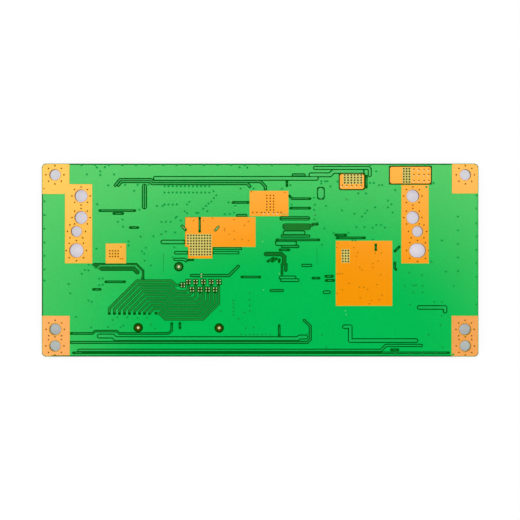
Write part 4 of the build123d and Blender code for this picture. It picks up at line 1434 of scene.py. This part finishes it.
@dataclass
class Marks:
    """Bare epoxy round the alignment marks and between the test pads, painted shade and painted
    glints.

    An inner line is its x, its low y and its high y. An edge is the inward and the outward
    reach of its painted shade, and a cross is the widths of its upright and its level arm.
    """

    levels: Levels
    mark_places: tuple[tuple[float, float], ...] = ((-29.6, -2.4), (-44.4, -24.6),
                                                    (-14.9, -24.7))
    clear_radius: float = 1.3
    ring_lift: float = 0.01
    edge_mm: tuple[float, float] = (-0.08, 0.44)
    edge_lift: float = 0.004
    round_sides: int = 32
    pad_pitch: float = 0.98
    cross_mm: tuple[float, float] = (0.66, 0.56)
    cross_lift: tuple[float, float] = (0.014, 0.01)
    moat_mm: float = 0.4
    inner_lines: tuple[tuple[float, float, float], ...] = (
        (-35.2, -4.15, 2.7), (20.7, -1.4, 4.4))
    line_mm: float = 0.12
    specks: tuple[tuple[float, float], ...] = (
        (0.9, 6.75), (7.0, -4.9), (1.2, -10.9), (31.0, -18.4), (31.4, -19.9), (72.2, 22.5),
        (19.7, 16.6), (31.4, 22.3), (-8.9, 19.2), (-10.3, 21.4))
    speck_radius: float = 0.15

    def build(self) -> None:
        """Makes the rings, the patches, the painted shade on the shallow lines and the painted
        glints.
        """
        self.alignment_marks()
        self.pad_patches()
        # Dark strips on the ridges over buried lines: painted shade.
        lines = Piece("inner_line_ridge_shade", GAP_AND_EDGE_SHADE)
        for x, low_y, high_y in self.inner_lines:
            lines.add(*ribbon(np.array([[x, low_y], [x, high_y]]), self.line_mm,
                              self.levels.plated - 0.01, 0.014))
        lines.build()
        # Pale specks on the pour: painted glints.
        specks = Piece("painted_glint_specks", TIN_PAD_AND_GLINT)
        radii = self.speck_radius * np.array([1.0, 2 / 3, 0.0])
        specks.add(*dishes(np.array(self.specks), radii, np.array([0.0, 0.02, 0.03]),
                           self.levels.plated, sides=6))
        specks.build(smooth=True)

    def alignment_marks(self) -> None:
        """Fills the marks' windows with bare epoxy, and lines their walls with painted shade.
        """
        for name, finish, places in (
                ("fiducial_ring", BARE_EPOXY, self.mark_places[:1]),
                ("browned_fiducial_rings", OLIVE_EPOXY, self.mark_places[1:])):
            rings = Piece(name, finish)
            radii = self.clear_radius * np.array([1.0, 0.97, 3 / 13, 0.0])
            heights = self.ring_lift * np.array([0.0, 1.0, 1.0, 1.0])
            rings.add(*dishes(np.array(places), radii, heights, self.levels.upper,
                              sides=self.round_sides))
            rings.build()
        walls = Piece("fiducial_window_wall_shade", WINDOW_WALL_SHADE)
        low, high = self.levels.plated - SINK, self.levels.plated + self.edge_lift
        curve, out = stadium(2 * self.clear_radius, 2 * self.clear_radius, self.round_sides)
        inner, outer = self.edge_mm
        section = np.array([[inner, high], [inner, low], [outer, low], [outer, high]])
        for place in self.mark_places:
            walls.add(*rim(curve + np.array(place), out, section))
        walls.build()

    def pad_patches(self) -> None:
        """Lays a bare cross between each four test pads, and a moat round them.

        The middle of a four is that of two pads which lie one pitch apart both ways.
        """
        patches = Piece("test_pad_clearings", PAD_CLEARING)
        frames = Piece("test_pad_moats", GAP_AND_EDGE_SHADE)
        low, high = (part[:, :2] for part in islands("test_pads"))
        middle = (low + high) / 2
        apart = np.abs(middle[:, None] - middle[None])
        first, second = np.nonzero((np.abs(apart - self.pad_pitch) < TOLERANCE).all(2))
        groups = np.unique(np.round((middle[first] + middle[second]) / 2, 2), axis=0)
        foot, signs = self.levels.plated - SINK, np.array([[-1, -1], [1, -1], [1, 1], [-1, 1]])
        face = foot + SINK + self.cross_lift[1]
        section = np.array([[0.0, face], [0.0, foot], [self.moat_mm, foot],
                            [self.moat_mm, face]])
        half = (self.pad_pitch + high[0, 0] - low[0, 0]) / 2
        for x, y in groups.tolist():
            patches.add(*ribbon(np.array([[x - half, y], [x + half, y]]), self.cross_mm[1],
                                foot, SINK + self.cross_lift[1]))
            patches.add(*ribbon(np.array([[x, y - half], [x, y + half]]), self.cross_mm[0],
                                foot, SINK + self.cross_lift[0]))
            frames.add(*rim(np.array([x, y]) + signs * half, signs.astype(float), section))
        patches.build()
        frames.build()


# ------------------------------------------------------------------ the component side
@dataclass
class Bundle:
    """Parallel lines that run together, with the gap that is etched round them."""

    path: tuple[tuple[float, float], ...]
    lines: int = 1
    width: float = 0.2
    pitch: float = 0.42


@dataclass
class ComponentCopper:
    """Traces of the component side, as lines raised in their etched gaps."""

    levels: Levels
    clearance: float = 0.28
    gap_rise: float = -0.006
    line_rise: float = -0.03

    def bundles(self) -> list[Bundle]:
        """The groups of lines, from each chip to what it drives.

        Returns:
            The fan under the input, the outputs' buses, short groups and broad supply lines.
        """
        fan = []
        for k in range(12):
            start, end = -34.8 + k * 1.48, -27.3 + k * 0.8  # at the input and at the chip
            fan.append(Bundle(((start, 27.2), (start, 20.0), (end, 20.0 - abs(start - end)),
                               (end, 14.0))))
        outputs = [
            Bundle(((-30.4, 3.0), (-36.0, 3.0), (-44.0, -5.0), (-44.0, -27.0)), 10),
            Bundle(((-24.5, -3.2), (-24.5, -9.0), (-34.0, -18.5), (-51.0, -18.5),
                    (-54.0, -21.5), (-54.0, -27.0)), 8),
            Bundle(((-18.5, -3.2), (-18.5, -12.0), (-8.5, -22.0), (-4.0, -22.0),
                    (-2.0, -24.0), (-2.0, -27.0)), 10),
            Bundle(((-13.2, 2.0), (-6.0, 2.0), (6.0, -10.0), (6.0, -27.0)), 10),
            Bundle(((7.0, 23.5), (14.0, 23.5), (17.0, 20.5), (17.0, -12.0), (11.5, -17.5),
                    (11.5, -27.0)), 6)]
        short = [
            Bundle(((-38.6, 13.4), (-34.0, 13.4), (-31.6, 11.0), (-30.4, 11.0)), 3, pitch=0.6),
            Bundle(((-37.8, -1.2), (-32.6, -1.2), (-31.4, 0.0), (-30.4, 0.0)), 2),
            Bundle(((-56.4, 0.5), (-60.0, 0.5), (-63.0, -2.5), (-63.0, -22.0),
                    (-59.0, -26.0), (-58.0, -26.0)), 5),
            Bundle(((-13.2, 8.8), (-4.0, 8.8), (0.4, 13.2), (0.4, 18.0)), 5),
            Bundle(((34.6, 2.5), (44.0, 2.5), (49.0, 7.5), (49.0, 25.0)), 2)]
        power = [
            Bundle(((33.4, 19.0), (33.4, 8.0)), 1, 3.2),
            Bundle(((41.0, -2.6), (41.0, 4.4), (44.0, 7.4), (44.0, 10.6)), 1, 2.2),
            Bundle(((52.6, -4.0), (52.6, 2.0)), 1, 2.6),
            Bundle(((36.4, -12.6), (46.0, -12.6)), 1, 2.4),
            Bundle(((56.6, 30.4), (61.0, 30.4), (65.4, 26.0)), 1, 1.8),
            Bundle(((25.4, 24.6), (27.8, 24.6)), 1, 2.6)]
        return fan + outputs + short + power

    def build(self) -> None:
        """Makes the gaps and the lines as two pieces."""
        gaps = Piece("component_side_gaps", GAP_AND_EDGE_SHADE)
        lines = Piece("component_side_traces", MASK_ON_COPPER)
        for bundle in self.bundles():
            path = np.array(bundle.path)
            whole = (bundle.lines - 1) * bundle.pitch + bundle.width
            gaps.add(*ribbon(path, whole + 2 * self.clearance, self.levels.lower,
                             self.gap_rise))
            for k in range(bundle.lines):
                shift = (k - (bundle.lines - 1) / 2) * bundle.pitch
                lines.add(*ribbon(path + leftward(path) * shift, bundle.width,
                                  self.levels.lower, self.line_rise))
        gaps.build()
        lines.build()


@dataclass
class SolderJoints:
    """Fillets of solder round every foot, contact and chip end."""

    levels: Levels
    fine: tuple[str, ...] = (
        "timing_controller_leads", "power_chip_leads", "reference_chip_leads",
        "level_shifter_leads", "converter_chip_leads", "flash_memory_leads",
        "input_connector_contacts", "left_output_contacts", "right_output_contacts")
    coarse: tuple[str, ...] = (
        "regulator_leads", "diode_leads", "connector_anchors", "large_capacitor_ends",
        "small_capacitor_ends", "resistor_ends", "boost_inductor_terminals",
        "buck_inductor_terminals")

    def build(self) -> None:
        """Makes the fine joints and the coarse ones as two pieces."""
        for name, nodes, drop, margin in (("fine_solder_joints", self.fine, 0.07, 0.08),
                                          ("solder_fillets", self.coarse, 0.16, 0.28)):
            piece = Piece(name, SOLDER)
            for node in nodes:
                low, high = islands(node)
                piece.add(*pillows(low[:, :2], high[:, :2], self.levels.lower, drop, margin))
            piece.build(smooth=True)


@dataclass
class Legend:
    """Printed outlines round the parts of the component side. It has no lettering."""

    levels: Levels
    line_mm: float = 0.18
    margin_mm: float = 0.55
    rise: float = -0.02
    tick_gap: float = 1.0
    limit: tuple[float, float] = (78.6, 34.3)
    nodes: tuple[str, ...] = (
        "timing_controller_leads", "power_chip_leads", "reference_chip_leads",
        "level_shifter_leads", "converter_chip_leads", "flash_memory_leads",
        "regulator_body", "boost_inductor_shield", "buck_inductor_shield",
        "input_connector_shell", "left_output_housing", "right_output_housing")

    def build(self) -> None:
        """Makes the outlines, each as four strips, and small ticks beside the diodes."""
        piece = Piece("printed_outlines", INK)
        for node in self.nodes:
            low, high = (np.array(corner[:2]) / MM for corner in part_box(node))
            self.outline(piece, low - self.margin_mm, high + self.margin_mm)
        for low, high in zip(*islands("diode_bodies")):
            x = high[0] + self.tick_gap
            path = np.array([[x, low[1]], [x, high[1]]])
            piece.add(*ribbon(path, 2 * self.line_mm, self.levels.lower, self.rise))
        piece.build()

    def outline(self, piece: Piece, low: np.ndarray, high: np.ndarray) -> None:
        """Adds one rectangle, kept inside the board's edges.

        Args:
            piece: The piece that gets it.
            low: Its low corner, as x and y.
            high: Its high corner.
        """
        edge = np.array(self.limit)
        low, high = np.maximum(low, -edge), np.minimum(high, edge)
        corners = np.array([[low[0], low[1]], [high[0], low[1]], [high[0], high[1]],
                            [low[0], high[1]]])
        for start, end in zip(corners, np.roll(corners, -1, axis=0)):
            piece.add(*ribbon(np.array([start, end]), self.line_mm, self.levels.lower,
                              self.rise))


# ------------------------------------------------------------------ the stage
@dataclass
class Stage:
    """White table, soft sky, one lamp and a camera straight above the board.

    Lengths of the sky's ring are tangents of the angle from the zenith. Places and sizes of
    the lamp are in metres, and its power is in watts. A glow is the share of a sheet's own
    light in what is seen of it, and the rest is lit, so that shadows stay.
    """

    camera_height: float = 380.0
    sensor_width: float = 36.0
    seen_width: float = 189.3
    aim: tuple[float, float] = (-0.05, 0.04)
    daylight: float = 0.4
    overhead: float = 0.0
    ring_centre: tuple[float, float] = (0.034, -0.077)
    ring_stretch: float = 1.8
    ring_inner: tuple[float, float] = (0.155, 0.35)
    ring_outer: tuple[float, float] = (0.6, 1.2)
    ring_light: float = 2.76
    horizon: float = 0.02
    lamp_place: tuple[float, float, float] = (-0.55, 0.42, 0.60)
    lamp_size: float = 0.5
    lamp_power: float = 0.8
    table_glow: float = 0.85
    table_level: float = -0.1
    # Sheets of painted shade under the board: lilac grey, darkest under the two lower corners.
    card_level: float = -0.02
    card_size: tuple[float, float] = (156.0, 67.4)
    corner_card: tuple[float, float] = (10.0, 16.0)
    under_board_shade_colour: str = "F6EEFA"
    under_board_shade_glow: float = 0.53
    lower_corner_shade_glow: float = 0.13
    table_reach: float = 15000.0

    def build(self, face: float) -> None:
        """Sets up everything that isn't the board.

        Args:
            face: Height of the board's upper face, from which the camera's height is measured.
        """
        scene = bpy.context.scene
        scene.view_settings.view_transform = "Standard"
        data = bpy.data.cameras.new("camera")
        data.sensor_width = self.sensor_width
        data.lens = self.sensor_width * self.camera_height / self.seen_width
        data.clip_start = 0.01
        camera = bpy.data.objects.new("camera", data)
        camera.location = (self.aim[0] * MM, self.aim[1] * MM,
                           (face + self.camera_height) * MM)
        scene.collection.objects.link(camera)
        scene.camera = camera
        self.lamp()
        self.world(scene)
        self.sheets()

    def lamp(self) -> None:
        """Adds a square lamp, as a window would be, that looks at the board."""
        data = bpy.data.lights.new("window_lamp", "AREA")
        data.size, data.energy = self.lamp_size, self.lamp_power
        made = bpy.data.objects.new("window_lamp", data)
        made.location = self.lamp_place
        made.rotation_mode = "QUATERNION"
        made.rotation_quaternion = made.location.to_track_quat("Z", "Y")
        bpy.context.scene.collection.objects.link(made)

    def seen_rays(self, tree: bpy.types.NodeTree) -> bpy.types.NodeSocket:
        """Tells the rays that are seen, straight, in gloss or through glass, from others.

        Args:
            tree: The material's tree.

        Returns:
            1 for a seen ray and 0 for any other.
        """
        path = add_node(tree, "LightPath")
        first = add_node(tree, "Math", {0: path.outputs["Is Camera Ray"],
                                        1: path.outputs["Is Glossy Ray"]},
                         operation="MAXIMUM")
        return add_node(tree, "Math", {0: first.outputs[0],
                                       1: path.outputs["Is Transmission Ray"]},
                        operation="MAXIMUM").outputs[0]

    def world(self, scene: bpy.types.Scene) -> None:
        """A soft grey sky with one large oval ring of light round the camera's own place.

        The sky's strength is a function of the distance, as a tangent, from a point near
        the zenith: low in the middle, high on the ring, and plain daylight farther out.

        Args:
            scene: The scene that gets the sky.
        """
        world = bpy.data.worlds.new("studio")
        world.use_nodes = True
        scene.world = world
        tree = world.node_tree
        tree.nodes.clear()
        view = add_node(tree, "TexCoord").outputs["Generated"]
        way = add_node(tree, "SeparateXYZ", {0: view})
        height = add_node(tree, "Math", {0: way.outputs["Z"], 1: self.horizon},
                          operation="MAXIMUM")
        parts = []
        for axis, centre, stretch in (("X", self.ring_centre[0], 1.0),
                                      ("Y", self.ring_centre[1], self.ring_stretch)):
            slope = add_node(tree, "Math", {0: way.outputs[axis], 1: height.outputs[0]},
                             operation="DIVIDE")
            shifted = add_node(tree, "Math", {0: slope.outputs[0], 1: centre},
                               operation="SUBTRACT")
            parts.append(add_node(tree, "Math", {0: shifted.outputs[0], 1: stretch},
                                  operation="MULTIPLY").outputs[0])
        reach = add_node(tree, "CombineXYZ", {0: parts[0], 1: parts[1]})
        distance = add_node(tree, "VectorMath", {0: reach.outputs[0]}, operation="LENGTH")
        rise = add_node(tree, "MapRange", {
            "Value": distance.outputs["Value"], "From Min": self.ring_inner[0],
            "From Max": self.ring_inner[1], "To Min": self.overhead, "To Max": self.ring_light})
        fall = add_node(tree, "MapRange", {
            "Value": distance.outputs["Value"], "From Min": self.ring_outer[0],
            "From Max": self.ring_outer[1], "To Min": 0.0,
            "To Max": self.ring_light - self.daylight})
        share = add_node(tree, "Math", {0: rise.outputs["Result"], 1: fall.outputs["Result"]},
                         operation="SUBTRACT")
        lit = add_node(tree, "Background", {"Color": colour("FFFFFF"),
                                            "Strength": share.outputs[0]})
        add_node(tree, "OutputWorld", {"Surface": lit.outputs[0]})

    def sheets(self) -> None:
        """A white table top, and under the board sheets of painted shade that show through its
        holes.
        """
        reach = np.full(2, self.table_reach)
        self.sheet("table_top", -reach, reach, self.table_level, "FFFFFF", self.table_glow)
        whole, corner = np.array(self.card_size) / 2, np.array(self.corner_card)
        self.sheet("under_board_shade_sheet", -whole, whole, self.card_level, self.under_board_shade_colour,
                   self.under_board_shade_glow)
        for name, side in (("left_corner_shade_sheet", -1), ("right_corner_shade_sheet", 1)):
            x = side * (whole[0] - corner[0] / 2)
            low = np.array([x - corner[0] / 2, -whole[1]])
            self.sheet(name, low, low + corner, self.card_level / 2, self.under_board_shade_colour,
                       self.lower_corner_shade_glow)

    def sheet(self, name: str, low: np.ndarray, high: np.ndarray, level: float, code: str,
              glow_share: float) -> None:
        """Lays one flat sheet.

        Args:
            name: The sheet's name.
            low: Its low corner.
            high: Its high corner.
            level: Its height.
            code: Its colour, as six hex digits.
            glow_share: How much of its light the seen rays get as a plain glow.
        """
        mesh = bpy.data.meshes.new(name)
        corners = [(low[0], low[1]), (high[0], low[1]), (high[0], high[1]), (low[0], high[1])]
        mesh.from_pydata([(x * MM, y * MM, level * MM) for x, y in corners], [],
                         [(0, 1, 2, 3)])
        material = bpy.data.materials.new(name)
        material.use_nodes = True
        tree = material.node_tree
        tree.nodes.clear()
        matt = add_node(tree, "BsdfDiffuse", {"Color": colour(code)})
        glow = add_node(tree, "Emission", {"Color": colour(code), "Strength": 1.0})
        share = add_node(tree, "Math", {0: self.seen_rays(tree), 1: glow_share},
                         operation="MULTIPLY")
        both = add_node(tree, "MixShader", {0: share.outputs[0], 1: matt.outputs[0],
                                            2: glow.outputs[0]})
        add_node(tree, "OutputMaterial", {"Surface": both.outputs[0]})
        mesh.materials.append(material)
        made = bpy.data.objects.new(name, mesh)
        bpy.context.scene.collection.objects.link(made)


# Middles and radii of the round holes. The slot's radius is the mean of its half width
# and its half length.
ROUND_HOLES = ([(x, y, 2.1) for x in (-74.7, 74.7) for y in (31.05, -31.25)]
               + [(x, -25.2, 2.2) for x in (-74.6, 74.6)]
               + [(x, y, 2.4) for x in (-65.2, 55.6) for y in (23.35, 15.5)]
               + [(x, 10.45, 2.05) for x in (-66.9, 57.3)] + [(-66.9, 3.5, 2.65)])
SLOT = (57.3, 3.5, 2.85)


def main() -> None:
    """Builds every part of the scene in order."""
    logging.basicConfig(level=logging.INFO, format="%(message)s")
    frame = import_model()
    levels = Levels.read()
    Dresser().dress(frame["nodes"])
    TraceEnds(levels).build()
    MaskEdges(levels).build()
    Vias(levels, ROUND_HOLES + [SLOT]).build()
    Holes(levels, ROUND_HOLES).build()
    Marks(levels).build()
    ComponentCopper(levels).build()
    SolderJoints(levels).build()
    Legend(levels).build()
    Stage().build(levels.plated)


if __name__ == "__main__":
    main()
